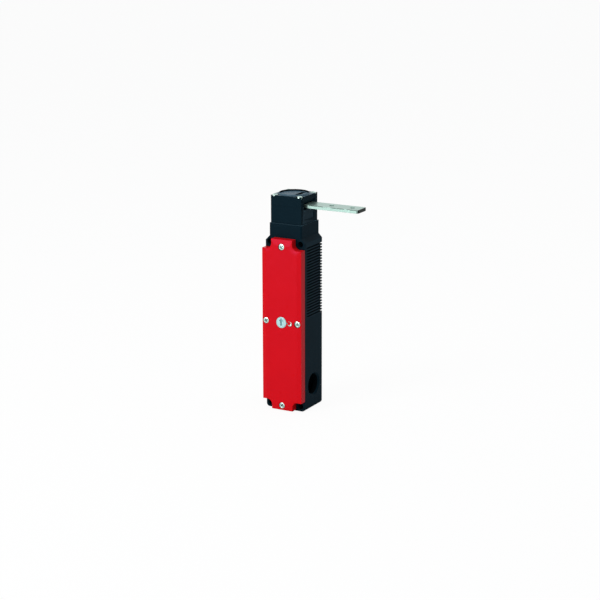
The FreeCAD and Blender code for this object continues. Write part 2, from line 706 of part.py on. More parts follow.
def head_housing():
    """Square head: round rimmed top, corner pockets, flared side slot, upper slot, cam room."""
    body = new_body("head_housing")
    plan = new_sketch(body, "head_plan", "XY", s.neck_top)
    add_outline(plan, rectangle((-HEAD_HALF, HEAD_HALF), (MIDDLE - HEAD_HALF, MIDDLE + HEAD_HALF)))
    pad(body, plan, s.head_top - s.neck_top, "head_block")
    soften(body, "Fillet", "Z", lambda p: near(abs(p.x), HEAD_HALF), 0.6, "head_corners")
    top = new_sketch(body, "boss_plan", "XY", s.head_top)
    add_circle(top, (0, MIDDLE), s.rim_radius)
    pad(body, top, s.boss_rise, "round_top")
    pockets = new_sketch(body, "pocket_plan", "XY", ROUND_TOP)
    for x, y in HEAD_SCREWS:
        add_circle(pockets, (x, y), s.corner_pocket)
    pocket(body, pockets, s.boss_rise + s.corner_drop, "corner_pockets")
    rim = new_sketch(body, "rim_plan", "XY", ROUND_TOP - 0.2)
    add_circle(rim, (0, MIDDLE), s.rim_radius - 0.2)
    add_circle(rim, (0, MIDDLE), s.rim_radius - 0.2 - s.rim_width)
    pad(body, rim, s.rim_rise + 0.2, "rim")
    shanks = new_sketch(body, "shank_plan", "XY", s.head_top)
    for x, y in HEAD_SCREWS:
        add_circle(shanks, (x, y), s.screw_shank + s.fit)
    pocket(body, shanks, s.head_top - s.neck_top, "shank_holes")
    room = new_sketch(body, "room_plan", "XY", s.neck_top)
    wide, arm = ROOM_HALF, ROOM_ARM
    add_outline(room, [(-wide, MIDDLE - arm), (-arm, MIDDLE - arm), (-arm, MIDDLE - wide),
                       (arm, MIDDLE - wide), (arm, MIDDLE - arm), (wide, MIDDLE - arm),
                       (wide, MIDDLE + arm), (arm, MIDDLE + arm), (arm, MIDDLE + wide),
                       (-arm, MIDDLE + wide), (-arm, MIDDLE + arm), (-wide, MIDDLE + arm)])
    pocket(body, room, ROOM_TOP - s.neck_top, "room", True)
    mouth = new_sketch(body, "slot_outline", "YZ", HEAD_HALF)
    add_outline(mouth, rectangle((MIDDLE - SLOT_HALF, MIDDLE + SLOT_HALF), (SLOT_LOW, SLOT_HIGH)))
    pocket(body, mouth, s.head_wall + 1, "side_slot")
    flare = body.newObject("PartDesign::SubtractiveLoft", "flare")
    wide_end = new_sketch(body, "flare_outer", "YZ", HEAD_HALF)
    add_outline(wide_end, rectangle((MIDDLE - SLOT_HALF - 2, MIDDLE + SLOT_HALF + 2),
                                    (SLOT_LOW - 1.2, SLOT_HIGH + 3.2)))
    narrow_end = new_sketch(body, "flare_inner", "YZ", HEAD_HALF - s.head_wall + 0.6)
    add_outline(narrow_end, rectangle((MIDDLE - SLOT_HALF, MIDDLE + SLOT_HALF),
                                      (SLOT_LOW, SLOT_HIGH)))
    flare.Profile = wide_end
    flare.Sections = [narrow_end]
    flare.Ruled = True
    panel = new_sketch(body, "panel_outline", "YZ", HEAD_HALF)
    add_outline(panel, rectangle((MIDDLE - SLOT_HALF, MIDDLE + SLOT_HALF),
                                 (s.neck_top + 3.5, SLOT_LOW - 3)))
    pocket(body, panel, 0.4, "panel")
    upper = new_sketch(body, "upper_slot_plan", "XY", ROUND_TOP)
    reach = s.tongue_thick / 2 + s.slot_play
    add_outline(upper, rectangle((s.top_slot - reach, s.top_slot + reach),
                                 (MIDDLE - SLOT_HALF, MIDDLE + SLOT_HALF)))
    pocket(body, upper, ROUND_TOP - ROOM_TOP + 1, "upper_slot")
    for side, name in ((1, "right"), (-1, "left")):
        seam = new_sketch(body, f"seam_{name}_outline", "YZ", side * HEAD_HALF)
        near_edge = MIDDLE - HEAD_HALF + 1.0
        add_outline(seam, rectangle((near_edge, near_edge + s.seam_slot),
                                    (s.neck_top - 1, s.head_top - s.corner_drop)))
        pocket(body, seam, s.seam_depth, f"seam_{name}", side < 0)
    bore = new_sketch(body, "axle_outline", "XZ", -(MIDDLE + ROOM_HALF + 1.4))
    add_circle(bore, (-s.cam_offset, s.cam_height), s.axle_radius + s.fit)
    pocket(body, bore, 2 * (ROOM_HALF + 1.4), "axle_bore", True)
    return finish(body, "head_housing")


def head_fittings():
    """Base plate and flat seal under the cam room, and the four long head screws."""
    arm = ROOM_ARM - s.seat
    wide = ROOM_HALF - s.seat
    sealing = 0.5
    for name, low, high in (("head_seal", s.neck_top, s.neck_top + sealing),
                            ("head_plate", s.neck_top + sealing, PLATE_TOP)):
        across = box(name + "_across", (-wide, wide), (MIDDLE - arm, MIDDLE + arm), (low, high))
        along = box(name + "_along", (-arm, arm), (MIDDLE - wide, MIDDLE + wide), (low, high))
        play = s.fit if name == "head_plate" else s.seat * 3
        bore = rod(name + "_bore", "Z", (0, MIDDLE), s.plunger_radius + play, low - 1, high + 1)
        finish(cut(name + "_cut", fuse(name + "_cross", across, along), bore), name)
    screws = []
    seat = s.head_top - s.corner_drop
    for number, (x, y) in enumerate(HEAD_SCREWS):
        head = rod(f"hs_head_{number}", "Z", (x, y), s.head_screw, seat, seat + 1.7)
        shank = rod(f"hs_shank_{number}", "Z", (x, y), s.pilot_radius - s.fit,
                    s.neck_top - s.pilot_depth + s.seat, seat)
        recess = [box(f"hs_slot_{way}_{number}", (x - a, x + a), (y - b, y + b),
                      (seat + 0.8, seat + 3)) for way, a, b in (("x", 1.5, 0.35), ("y", 0.35, 1.5))]
        screws.append(cut(f"hs_{number}", fuse(f"hs_solid_{number}", head, shank), *recess))
    finish(group("head_screws_all", *screws), "head_screws")


WINDOW_NEAR = -(s.cam_offset + s.tooth_root * 0.4 + s.tooth_tip * 0.6) - 3.9
WINDOW_FAR = -s.cam_offset + s.tooth_root + 2 * s.seat


def tongue():
    """Flat steel actuator: driving window near its nose and two fixing holes outside."""
    body = new_body("tongue")
    plan = new_sketch(body, "tongue_plan", "XY", s.tongue_floor)
    wide = s.tongue_width / 2
    add_outline(plan, rectangle((-s.tongue_nose, s.tongue_end), (MIDDLE - wide, MIDDLE + wide)))
    pad(body, plan, s.tongue_thick, "tongue_bar")
    window = new_sketch(body, "window_plan", "XY", TONGUE_TOP)
    gap = s.tooth_width / 2 + 1
    add_outline(window, rectangle((WINDOW_NEAR, WINDOW_FAR), (MIDDLE - gap, MIDDLE + gap)))
    pocket(body, window, s.tongue_thick + 1, "tongue_window")
    for number in range(2):
        hole = new_sketch(body, f"tongue_hole_{number}_plan", "XY", TONGUE_TOP)
        spot = s.tongue_end - s.tongue_hole_end - number * s.tongue_hole_pitch
        add_circle(hole, (spot, MIDDLE), s.tongue_hole)
        pocket(body, hole, s.tongue_thick + 1, f"tongue_hole_{number}")
    soften(body, "Fillet", "Z", lambda p: near(p.x, s.tongue_end),
           s.tongue_round, "tongue_end_round")
    soften(body, "Chamfer", "Z", lambda p: near(p.x, -s.tongue_nose),
           s.tongue_nose_cut, "tongue_nose_corners")
    return finish(body, "tongue")


def cam():
    """Wheel with the tooth that the tongue drives and the round lobe that lifts the plunger."""
    body = new_body("cam")
    x, z = -s.cam_offset, s.cam_height
    lobe = new_sketch(body, "lobe_outline", "XZ", -(MIDDLE + s.cam_width / 2))
    add_circle(lobe, (x + s.cam_throw * 0.5, z + s.cam_throw * 0.866), s.cam_radius)
    pad(body, lobe, s.cam_width, "lobe")
    tooth = new_sketch(body, "tooth_outline", "XZ", -(MIDDLE + s.tooth_width / 2))
    add_outline(tooth, [(x - s.tooth_root, z), (x + s.tooth_root, z),
                        (x + s.tooth_tip, z + s.tooth_reach), (x - s.tooth_tip, z + s.tooth_reach)])
    pad(body, tooth, s.tooth_width, "tooth")
    bore = new_sketch(body, "cam_bore_outline", "XZ", -(MIDDLE + s.cam_width / 2))
    add_circle(bore, (x, z), s.axle_radius + s.fit)
    pocket(body, bore, s.cam_width, "cam_bore", True)
    finish(body, "cam")
    axle = rod("cam_axle", "Y", (x, s.cam_height - ORIGIN_HEIGHT), s.axle_radius,
               MIDDLE - ROOM_HALF - 1.3, MIDDLE + ROOM_HALF + 1.3)
    axle.Label = "cam_axle"
    pieces.append(axle)


# ---- plunger train and contacts --------------------------------------------------------------
YOKE_LOW = s.coil_low - s.yoke_plate
YOKE_TOP = s.coil_low + s.coil_tall + s.yoke_plate
SLIDE_BACK = -s.rear_wall - 0.3
SLIDE_FRONT = SLIDE_BACK - s.slide_thick
ARM_LOW = YOKE_TOP + 3.2                                    # the arm passes over the yoke
CARRIER_LOW = s.chamber_top + 14
CARRIER_TOP = CARRIER_LOW + 20
BRIDGE_LOW = CARRIER_LOW + 4
BRIDGE_TOP = CARRIER_LOW + 14
BRIDGE_THICK = 0.8
PLUNGER_DROP = 2 * s.cam_throw * 0.866


def plunger_train():
    """Head plunger, the slide behind the solenoid and the carrier with its contact bridges."""
    stem = rod("plunger_stem", "Z", (0, MIDDLE), s.plunger_radius, s.plunger_foot, PLUNGER_TIP)
    collar = rod("plunger_collar", "Z", (0, MIDDLE), s.collar_radius, s.plunger_foot,
                 s.plunger_foot + s.collar_thick)
    finish(fuse("plunger_solid", stem, collar), "plunger")
    leg_back = MIDDLE + s.collar_radius
    leg = box("slide_leg", (-2, 2), (leg_back - s.slide_thick, leg_back), (ARM_LOW, s.plunger_foot))
    arm = box("slide_arm", (-s.slide_half, s.slide_half), (leg_back - s.slide_thick, SLIDE_BACK),
              (ARM_LOW, ARM_LOW + s.slide_thick))
    bar = box("slide_bar", (-s.slide_half, s.slide_half), (SLIDE_FRONT, SLIDE_BACK),
              (CARRIER_LOW, ARM_LOW + s.slide_thick))
    finish(fuse("control_slide_solid", leg, arm, bar), "control_slide")
    deep = (SLIDE_FRONT - 6, SLIDE_FRONT)
    bridge_deep = (SLIDE_FRONT - 4.5, SLIDE_FRONT - 1.5)
    half = s.block_half - 4.5
    bridges = [(half, low) for low in (BRIDGE_LOW, BRIDGE_TOP)]
    windows = [box(f"carrier_window_{number}", (-half, half), bridge_deep,
                   (low, low + BRIDGE_THICK)) for number, (half, low) in enumerate(bridges)]
    carrier = box("carrier_block", (-s.slide_half - 1, s.slide_half + 1), deep,
                  (CARRIER_LOW, CARRIER_TOP))
    finish(cut("carrier_cut", carrier, *windows), "contact_carrier")
    bars = [box(f"bridge_{number}", (-half, half), bridge_deep, (low, low + BRIDGE_THICK))
            for number, (half, low) in enumerate(bridges)]
    finish(group("bridges_all", *bars), "moving_contacts")


def contacts():
    """Insulating block with fixed contacts, eight terminal screws and their clamps."""
    half = s.block_half
    front, rear = -s.block_front, -s.block_rear
    low, top = s.chamber_top, s.chamber_top + s.block_tall
    sill = 3.5
    cheek = 3
    body = box("block_front_part", (-half, half), (front, rear), (low, top))
    base = box("block_base", (-half, half), (rear, SLIDE_BACK), (low, low + sill))
    cheeks = [box(f"block_cheek_{name}", span, (rear, SLIDE_BACK), (low + sill, top))
              for name, span in (("left", (-half, cheek - half)), ("right", (half - cheek, half)))]
    pockets = []
    screws = []
    clamps = []
    for column in (-1, 1):
        for level in range(4):
            x = column * half / 2
            z = low + s.block_tall * (level + 0.5) / 4
            tag = f"{'r' if column > 0 else 'l'}{level}"
            pockets.append(box("well_" + tag, (x - 3.6, x + 3.6), (front - 1, front + 3),
                               (z - 3.2, z + 3.2)))
            clamps.append(cut("clamp_" + tag, box("clamp_plate_" + tag, (x - 3, x + 3),
                                                  (front + 1.8, front + 3), (z - 2.8, z + 2.8)),
                              rod("clamp_bore_" + tag, "Y", (x, z), s.pilot_radius,
                                  front, front + 4)))
            head = rod("ts_head_" + tag, "Y", (x, z), 2.3, front + 0.2, front + 1.8)
            shank = rod("ts_shank_" + tag, "Y", (x, z), s.pilot_radius - s.fit, front + 1.8,
                        front + 7)
            slot = box("ts_slot_" + tag, (x - 3, x + 3), (front - 1, front + 0.9),
                       (z - 0.3, z + 0.3))
            screws.append(cut("ts_" + tag, fuse("ts_solid_" + tag, head, shank), slot))
            pockets.append(rod("ts_bore_" + tag, "Y", (x, z), s.pilot_radius, front, front + 7.2))
    finish(cut("block_cut", fuse("block_solid", body, base, *cheeks), *pockets), "contact_block")
    finish(group("terminal_screws_all", *screws), "terminal_screws")
    finish(group("terminal_clamps_all", *clamps), "terminal_clamps")
    pads = []
    lows = (BRIDGE_LOW - PLUNGER_DROP - s.seat - 1, BRIDGE_TOP + BRIDGE_THICK + s.seat / 2)
    for number, z in enumerate(lows):
        for side in (-1, 1):
            span = sorted([side * (half - cheek), side * (half - cheek - 4)],
                          key=lambda size: size.number)
            pads.append(box(f"fixed_{number}_{'r' if side > 0 else 'l'}", span,
                            (SLIDE_FRONT - 5, SLIDE_FRONT - 1), (z, z + 1)))
    finish(group("fixed_contacts_all", *pads), "fixed_contacts")
    spring("return_spring", (Size.of(0), SLIDE_FRONT - 3), s.slide_half / 2,
           low + sill, CARRIER_LOW)


# ---- solenoid and lock -----------------------------------------------------------------------
def solenoid():
    """Loop-shaped yoke, bobbin, winding and fixed pole."""
    wide, deep, plate = s.yoke_half, s.yoke_deep, s.yoke_plate
    y = (MIDDLE - deep, MIDDLE + deep)
    loop = box("yoke_loop", (-wide, wide), y, (YOKE_LOW, YOKE_TOP))
    window = box("yoke_window", (plate - wide, wide - plate), (y[0] - 1, y[1] + 1),
                 (s.coil_low, s.coil_low + s.coil_tall))
    bore = rod("yoke_bore", "Z", (0, MIDDLE), s.armature_radius + s.fit, YOKE_LOW - 1, YOKE_TOP + 1)
    finish(cut("yoke_cut", loop, window, bore), "solenoid_yoke")
    tube = s.armature_radius + 1.2
    flange = 1.2
    low, top = s.coil_low, s.coil_low + s.coil_tall
    core = fuse("bobbin_solid",
                rod("bobbin_tube", "Z", (0, MIDDLE), tube, low, top),
                rod("bobbin_foot", "Z", (0, MIDDLE), s.coil_radius + 0.2, low, low + flange),
                rod("bobbin_cap", "Z", (0, MIDDLE), s.coil_radius + 0.2, top - flange, top))
    finish(cut("bobbin_cut", core, rod("bobbin_bore", "Z", (0, MIDDLE),
                                       s.armature_radius + s.fit, low - 1, top + 1)),
           "coil_bobbin")
    finish(cut("winding_cut",
               rod("winding_drum", "Z", (0, MIDDLE), s.coil_radius, low + flange, top - flange),
               rod("winding_bore", "Z", (0, MIDDLE), tube, low, top)), "coil_winding")
    finish(cut("pole_cut",
               rod("pole_rod", "Z", (0, MIDDLE), s.armature_radius,
                   s.armature_low + s.armature_tall + 1, YOKE_TOP),
               rod("pole_bore", "Z", (0, MIDDLE), s.bolt_radius + s.fit,
                   s.armature_low + s.armature_tall, YOKE_TOP + 1)), "pole_core")


def lock():
    """Armature, the pin above it that stops the plunger, and the fork that the crank turns."""
    top = s.armature_low + s.armature_tall
    bolt_top = s.plunger_foot - s.bolt_gap
    collar_low = bolt_top - 4
    armature = rod("armature", "Z", (0, MIDDLE), s.armature_radius,
                   s.armature_low - ORIGIN_HEIGHT, top - ORIGIN_HEIGHT)
    armature.Label = "armature"
    pieces.append(armature)
    pin = rod("lock_pin_rod", "Z", (0, MIDDLE), s.bolt_radius, top, bolt_top)
    collar = rod("lock_pin_collar", "Z", (0, MIDDLE), s.bolt_radius * 2.1, collar_low,
                 collar_low + 1.2)
    finish(fuse("lock_pin_solid", pin, collar), "lock_pin")
    spring("lock_spring", (Size.of(0), MIDDLE), s.bolt_radius + 3 * s.spring_wire, YOKE_TOP,
           collar_low)
    slot_z = s.release_height + CRANK_RISE
    slot = s.crank_radius + 0.15
    plate = box("fork_plate", (-4, s.crank_offset + slot + 1.4),
                (MIDDLE - FORK_HALF, MIDDLE + FORK_HALF), (slot_z - slot - 2, s.armature_low))
    gap = box("fork_gap", (CRANK_RISE - slot - 0.2, s.crank_offset + slot + 0.2),
              (MIDDLE - FORK_HALF - 1, MIDDLE + FORK_HALF + 1), (slot_z - slot, slot_z + slot))
    finish(cut("fork_cut", plate, gap), "release_fork")


def check_and_write():
    """Every feature and every sub-part has to be sound before a file is written."""
    doc.recompute()
    for thing in doc.Objects:
        if "Invalid" in thing.State or "Error" in thing.State:
            raise RuntimeError(f"{thing.Name} failed: {thing.State}")
    for thing in pieces:
        if thing.Shape.isNull() or not thing.Shape.isValid() or not thing.Shape.Solids:
            raise RuntimeError(f"{thing.Label} is not a sound solid")
    os.makedirs("parts", exist_ok=True)
    for thing in pieces:
        thing.Shape.exportStep(f"parts/{thing.Label}.step")
        bounds = thing.Shape.BoundBox
        print(f"{thing.Label:16s} solids {len(thing.Shape.Solids):2d}"
              f"  volume {thing.Shape.Volume:9.1f}"
              f"  x {bounds.XMin:7.2f} {bounds.XMax:7.2f}  y {bounds.YMin:7.2f} {bounds.YMax:7.2f}"
              f"  z {bounds.ZMin:7.2f} {bounds.ZMax:7.2f}")


housing()
cover_gasket()
cover()
cover_screws()
plugs()
release()
head_housing()
head_fittings()
tongue()
cam()
plunger_train()
contacts()
solenoid()
lock()
check_and_write()
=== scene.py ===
"""Tongue interlock switch: finishes, fine pieces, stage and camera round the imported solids."""
import json
import math

import bmesh
import bpy
import numpy as np
from bpy.props import FloatProperty, FloatVectorProperty, IntProperty, PointerProperty
from mathutils import Matrix, Vector


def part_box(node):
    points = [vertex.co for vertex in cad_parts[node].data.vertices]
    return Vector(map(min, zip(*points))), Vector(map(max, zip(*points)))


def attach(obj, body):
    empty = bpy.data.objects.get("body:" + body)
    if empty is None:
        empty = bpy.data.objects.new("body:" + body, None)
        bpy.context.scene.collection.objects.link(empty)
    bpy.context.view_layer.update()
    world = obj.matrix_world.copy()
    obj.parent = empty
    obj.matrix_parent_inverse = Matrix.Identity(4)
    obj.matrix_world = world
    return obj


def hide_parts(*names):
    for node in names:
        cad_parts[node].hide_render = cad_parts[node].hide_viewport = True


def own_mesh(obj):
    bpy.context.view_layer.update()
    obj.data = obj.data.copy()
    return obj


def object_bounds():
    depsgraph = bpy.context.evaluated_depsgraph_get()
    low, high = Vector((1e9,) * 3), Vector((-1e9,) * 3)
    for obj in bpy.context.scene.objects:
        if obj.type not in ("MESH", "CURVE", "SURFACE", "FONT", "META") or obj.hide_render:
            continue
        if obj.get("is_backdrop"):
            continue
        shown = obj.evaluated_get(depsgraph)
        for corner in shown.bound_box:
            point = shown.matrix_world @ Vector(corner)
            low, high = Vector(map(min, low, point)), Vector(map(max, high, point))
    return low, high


bl_info = {
    "name": "Tongue interlock switch",
    "version": (1, 0, 0),
    "blender": (4, 5, 0),
    "location": "View3D > Sidebar > Switch",
    "description": "Dresses the solids of a guard-locking tongue interlock switch",
    "category": "Object",
}

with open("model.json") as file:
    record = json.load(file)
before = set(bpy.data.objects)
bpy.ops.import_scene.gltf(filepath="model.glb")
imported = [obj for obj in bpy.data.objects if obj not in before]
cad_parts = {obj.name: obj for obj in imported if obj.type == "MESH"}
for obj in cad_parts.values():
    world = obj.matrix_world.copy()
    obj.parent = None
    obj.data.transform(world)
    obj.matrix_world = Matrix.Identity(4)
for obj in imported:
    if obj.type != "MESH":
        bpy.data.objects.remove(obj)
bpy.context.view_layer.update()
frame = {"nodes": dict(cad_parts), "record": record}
MM = 0.001
TURN = 2 * math.pi
FRONT_AXES = ((1, 0, 0), (0, 0, 1), (0, -1, 0))
TOP_AXES = ((1, 0, 0), (0, 1, 0), (0, 0, 1))
SIDE_AXES = ((0, 1, 0), (0, 0, 1), (1, 0, 0))

SKIN = 0.05 * MM              # a face whose middle is this near to a plane lies in it
MERGE = 2e-6                  # points of a CAD node that are nearer than this are one
FLAT = math.radians(0.4)      # most between faces that are made one flat face
SHARP = math.radians(32)      # least between faces that meet in a sharp edge
ROUNDED = math.radians(38)    # least between faces whose edge is rounded
GROOVE_DEPTH = 1.1 * MM       # depth of the solids' cooling grooves
BAND = 0.8 * MM               # how far the field of ridges reaches past the grooves
NOTCH = 4.7 * MM              # radius of the notches in the lid's corners
LID_HOLE = 3.1 * MM           # a little over the radius of the lid's screw holes
HEAD_RIM = 13.9 * MM          # outer radius of the head's round rim
POCKET = 3.3 * MM             # radius of the pockets round the head's screws
FLARE = 1.4 * MM              # depth of the cable entry's flare, at whose foot its thread ends


# ---- sizes and colours that a user would change -----------------------------------------------

def length(name, description, default):
    """A length property whose default is given in millimetres."""
    return FloatProperty(name=name, description=description, default=default * MM, unit="LENGTH",
                         precision=5)


def colour(name, description, default):
    """A linear colour property."""
    return FloatVectorProperty(name=name, description=description, default=default, size=3,
                               subtype="COLOR", min=0, max=1)


class SwitchSizes(bpy.types.PropertyGroup):
    """Sizes of the fine pieces."""

    housing_edge: length("Housing edge", "Rounding of the moulded housing's edges", 0.25)
    lid_edge: length("Lid edge", "Rounding of the lid's edges", 0.32)
    head_edge: length("Head edge", "Rounding of the head's edges", 0.22)
    tongue_edge: length("Tongue edge", "Rounding of the stamped tongue's edges", 0.2)
    recess_depth: length("Recess depth", "Depth of the cross in each screw head", 0.95)
    recess_arm: length("Recess arm", "Reach of each arm of the cross", 1.8)
    recess_width: length("Recess width", "Width of each arm of the cross", 0.85)
    arrow_depth: length("Arrow depth", "Depth of the arrow in the release disc", 0.7)
    thread_pitch: length("Thread pitch", "Pitch of the cable entry's thread", 1.5)
    thread_height: length("Thread height", "Height of the cable entry's thread", 0.45)
    eye_radius: length("Eye radius", "Radius of the sealing eye's middle line", 1.85)
    bevel_width: length("Bevel width", "Width of the lid's bevel round each notch", 4.2)
    bevel_rise: length("Bevel rise", "How far the lid's bevel falls back", 0.9)
    end_bevel: length("End bevel", "Height of the bevel at the lid's two ends", 5.3)
    top_sink: length("Top sink", "How far the head's round top lies below its rim", 1.4)
    top_rim: length("Top rim", "Width of the head's rim", 1.0)
    top_drop: length("Top drop", "How far the visible rim lies below the solid's", 0.55)
    seam_depth: length("Seam depth", "Depth of the seams in the head's faces", 0.9)
    groove_sink: length("Groove sink", "How much deeper the cooling grooves run", 0.55)
    grid: IntProperty(name="Grid", description="Steps round a turned piece", default=96, min=24)


class SwitchColours(bpy.types.PropertyGroup):
    """Colours of the finishes."""

    black: colour("Black plastic", "Glass-filled housing plastic", (0.0026, 0.0112, 0.0178))
    red: colour("Red plastic", "Signal red lid", (0.57, 0.0042, 0.0068))
    grey: colour("Grey plastic", "Plugs and contact block", (0.05, 0.055, 0.06))
    ivory: colour("Ivory plastic", "Bobbin, slide and carrier", (0.72, 0.69, 0.6))
    zinc: colour("Zinc plate", "Screws and plates", (0.5, 0.65, 0.6))
    disc: colour("Release disc", "Pale plated disc", (0.34, 0.53, 0.53))
    strip: colour("Tongue steel", "Stainless steel strip", (0.34, 0.49, 0.44))
    copper: colour("Copper wire", "Enamelled winding", (0.62, 0.25, 0.1))


# ---- meshes -----------------------------------------------------------------------------------

def surface(name, grid, wrap_rows=False, cavity=None):
    """A mesh from a grid of points whose columns close on themselves.

    Each square joins point (i, j) to (i + 1, j), (i + 1, j + 1) and (i, j + 1). Points that fall
    together, such as at a pole, are merged, and the faces are turned outwards. The shade level,
    from 0 on open faces to 1 inside a recess, goes with the points for the finish to paint shade
    by.
    """
    rows, columns = grid.shape[:2]
    i, j = np.meshgrid(np.arange(rows if wrap_rows else rows - 1), np.arange(columns),
                       indexing="ij")
    below, right = (i + 1) % rows, (j + 1) % columns
    quads = np.stack([i * columns + j, below * columns + j, below * columns + right,
                      i * columns + right], -1).reshape(-1, 4)
    mesh = bpy.data.meshes.new(name)
    mesh.from_pydata(grid.reshape(-1, 3).tolist(), [], quads.tolist())
    if cavity is not None:
        mesh.attributes.new("cavity", "FLOAT", "POINT").data.foreach_set("value", cavity.ravel())
    return closed(mesh)


def closed(mesh):
    """Merges doubled points, drops faces without area and turns the rest outwards."""
    shape = bmesh.new()
    shape.from_mesh(mesh)
    bmesh.ops.remove_doubles(shape, verts=shape.verts, dist=1e-7)
    bmesh.ops.dissolve_degenerate(shape, edges=shape.edges, dist=1e-8)
    bmesh.ops.recalc_face_normals(shape, faces=shape.faces)
    shape.to_mesh(mesh)
    shape.free()
    return mesh


def joined(name, meshes):
    """One mesh from several."""
    shape = bmesh.new()
    for mesh in meshes:
        shape.from_mesh(mesh)
        bpy.data.meshes.remove(mesh)
    whole = bpy.data.meshes.new(name)
    shape.to_mesh(whole)
    shape.free()
    return whole


def add_piece(name, mesh, body, material, nodes=()):
    """Puts a mesh into the scene as a piece that rides on a body and stands for CAD nodes."""
    piece = bpy.data.objects.new(name, mesh)
    bpy.context.scene.collection.objects.link(piece)
    mesh.materials.clear()
    mesh.materials.append(material)
    mesh.polygons.foreach_set("use_smooth", np.ones(len(mesh.polygons), bool))
    mesh.set_sharp_from_angle(angle=SHARP)
    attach(piece, body)
    if nodes:
        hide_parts(*nodes)
    return piece


def dressed(node, name, edge, body, material):
    """A copy of a CAD node with its flat faces whole and its sharp edges rounded."""
    mesh = frame["nodes"][node].data.copy()
    mesh.name = name
    if mesh.attributes.get("custom_normal"):
        mesh.attributes.remove(mesh.attributes["custom_normal"])
    shape = bmesh.new()
    shape.from_mesh(mesh)
    bmesh.ops.remove_doubles(shape, verts=shape.verts, dist=MERGE)
    bmesh.ops.dissolve_limit(shape, angle_limit=FLAT, verts=shape.verts, edges=shape.edges)
    shape.to_mesh(mesh)
    shape.free()
    piece = add_piece(name, mesh, body, material, (node,))
    bevel = piece.modifiers.new("edges", "BEVEL")
    bevel.width = edge
    bevel.segments = 2
    bevel.limit_method = "ANGLE"
    bevel.angle_limit = ROUNDED
    bevel.use_clamp_overlap = True
    normals = piece.modifiers.new("normals", "WEIGHTED_NORMAL")
    normals.keep_sharp = True
    return piece


def carve(piece, cutters):
    """Takes closed cutter meshes out of a piece, before its edges are rounded."""
    for number, mesh in enumerate(cutters):
        cutter = bpy.data.objects.new(f"cutter_{number}", mesh)
        bpy.context.scene.collection.objects.link(cutter)
        tool = piece.modifiers.new(f"carve_{number}", "BOOLEAN")
        tool.operation, tool.solver, tool.object = "DIFFERENCE", "EXACT", cutter
        piece.modifiers.move(len(piece.modifiers) - 1, 0)
        with bpy.context.temp_override(object=piece, active_object=piece,
                                       selected_objects=[piece]):
            bpy.ops.object.modifier_apply(modifier=tool.name)
        bpy.data.objects.remove(cutter)
        bpy.data.meshes.remove(mesh)
    piece.data.set_sharp_from_angle(angle=SHARP)
    return piece


def revolved(name, centre, axes, profile, steps=96, ring=False):
    """A closed turned piece: its profile of (radius, height) points goes round the w axis."""
    u, v, w = (np.array(axis, float) for axis in axes)
    profile = np.array(profile, float)
    angle = np.arange(steps) * TURN / steps
    circle = np.cos(angle)[:, None] * u + np.sin(angle)[:, None] * v
    points = (np.array(centre) + profile[:, 0, None, None] * circle
              + profile[:, 1, None, None] * w)
    return surface(name, points, ring)


def frustum(name, centre, axes, ends):
    """A closed cone piece: ends are (height along w, radius) at its two flat faces."""
    (low, first), (high, second) = ends
    return revolved(name, centre, axes, [(0, low), (first, low), (second, high), (0, high)])


def prism(name, outline, axes, low, high):
    """A closed prism: an outline of (u, v) points that runs along w from low to high."""
    u, v, w = (np.array(axis, float) for axis in axes)
    outline = np.array(outline, float)
    flat = outline[:, :1] * u + outline[:, 1:] * v
    middle = np.broadcast_to(flat.mean(0), flat.shape)
    return surface(name, np.stack([middle + low * w, flat + low * w, flat + high * w,
                                   middle + high * w]))


def block(name, low, high):
    """A closed block between two corners."""
    (x0, y0, z0), (x1, y1, z1) = low, high
    return prism(name, [(x0, y0), (x1, y0), (x1, y1), (x0, y1)], TOP_AXES, z0, z1)


def mark(piece, name, test):
    """Gives each face a number from its middle and normal, for the finish to read."""
    mesh = piece.data
    middle, normal = np.empty((2, 3 * len(mesh.polygons)), np.float32)
    mesh.polygons.foreach_get("center", middle)
    mesh.polygons.foreach_get("normal", normal)
    level = test(*middle.reshape(-1, 3).T, *np.abs(normal.reshape(-1, 3).T))
    level = np.broadcast_to(np.asarray(level, np.float32), len(mesh.polygons))
    mesh.attributes.new(name, "FLOAT", "FACE").data.foreach_set("value", level)


def parted(piece, spot, way, test):
    """Cuts a piece's flat faces along a plane where their middle passes a test."""
    shape = bmesh.new()
    shape.from_mesh(piece.data)
    faces = [face for face in shape.faces if test(face.calc_center_median(), face.normal)]
    edges = dict.fromkeys(edge for face in faces for edge in face.edges)
    verts = dict.fromkeys(vert for face in faces for vert in face.verts)
    bmesh.ops.bisect_plane(shape, geom=[*verts, *edges, *faces], dist=1e-6, plane_co=spot,
                           plane_no=way)
    shape.to_mesh(piece.data)
    shape.free()


def sprung(node, joint, material):
    """A coil spring copied from its CAD node onto the housing. Its joint's travel is read, but the
    spring is not shortened by it.
    """
    mesh = frame["nodes"][node].data.copy()
    mesh.name = node + "_coil"
    piece = add_piece(mesh.name, closed(mesh), "housing", material, (node,))
    low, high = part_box(node)
    joints = frame["record"]["behaviour"]["joints"]
    reach = next(item["range_m"] for item in joints if item["name"] == joint)
    1 - (max(reach) - min(reach)) / (high.z - low.z)
    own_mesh(piece)


def finish_nodes(material, *names):
    """Gives CAD nodes that are kept as they are a finish, on their objects' own slots."""
    for name in names:
        node = frame["nodes"][name]
        if not node.material_slots:
            raise ValueError(f"{name} has no material slot")
        for place in node.material_slots:
            place.link = "OBJECT"
            place.material = material


def polar(rings, steps):
    """Radii from 0 to 1 down the rows and angles round the columns."""
    return np.meshgrid(rings, np.arange(steps) * TURN / steps, indexing="ij")


def step(value, edge, soft):
    """0 below the edge and 1 above it, with a cubic ramp soft wide between them."""
    t = np.clip((value - edge) / soft + 0.5, 0, 1)
    return t * t * (3 - 2 * t)


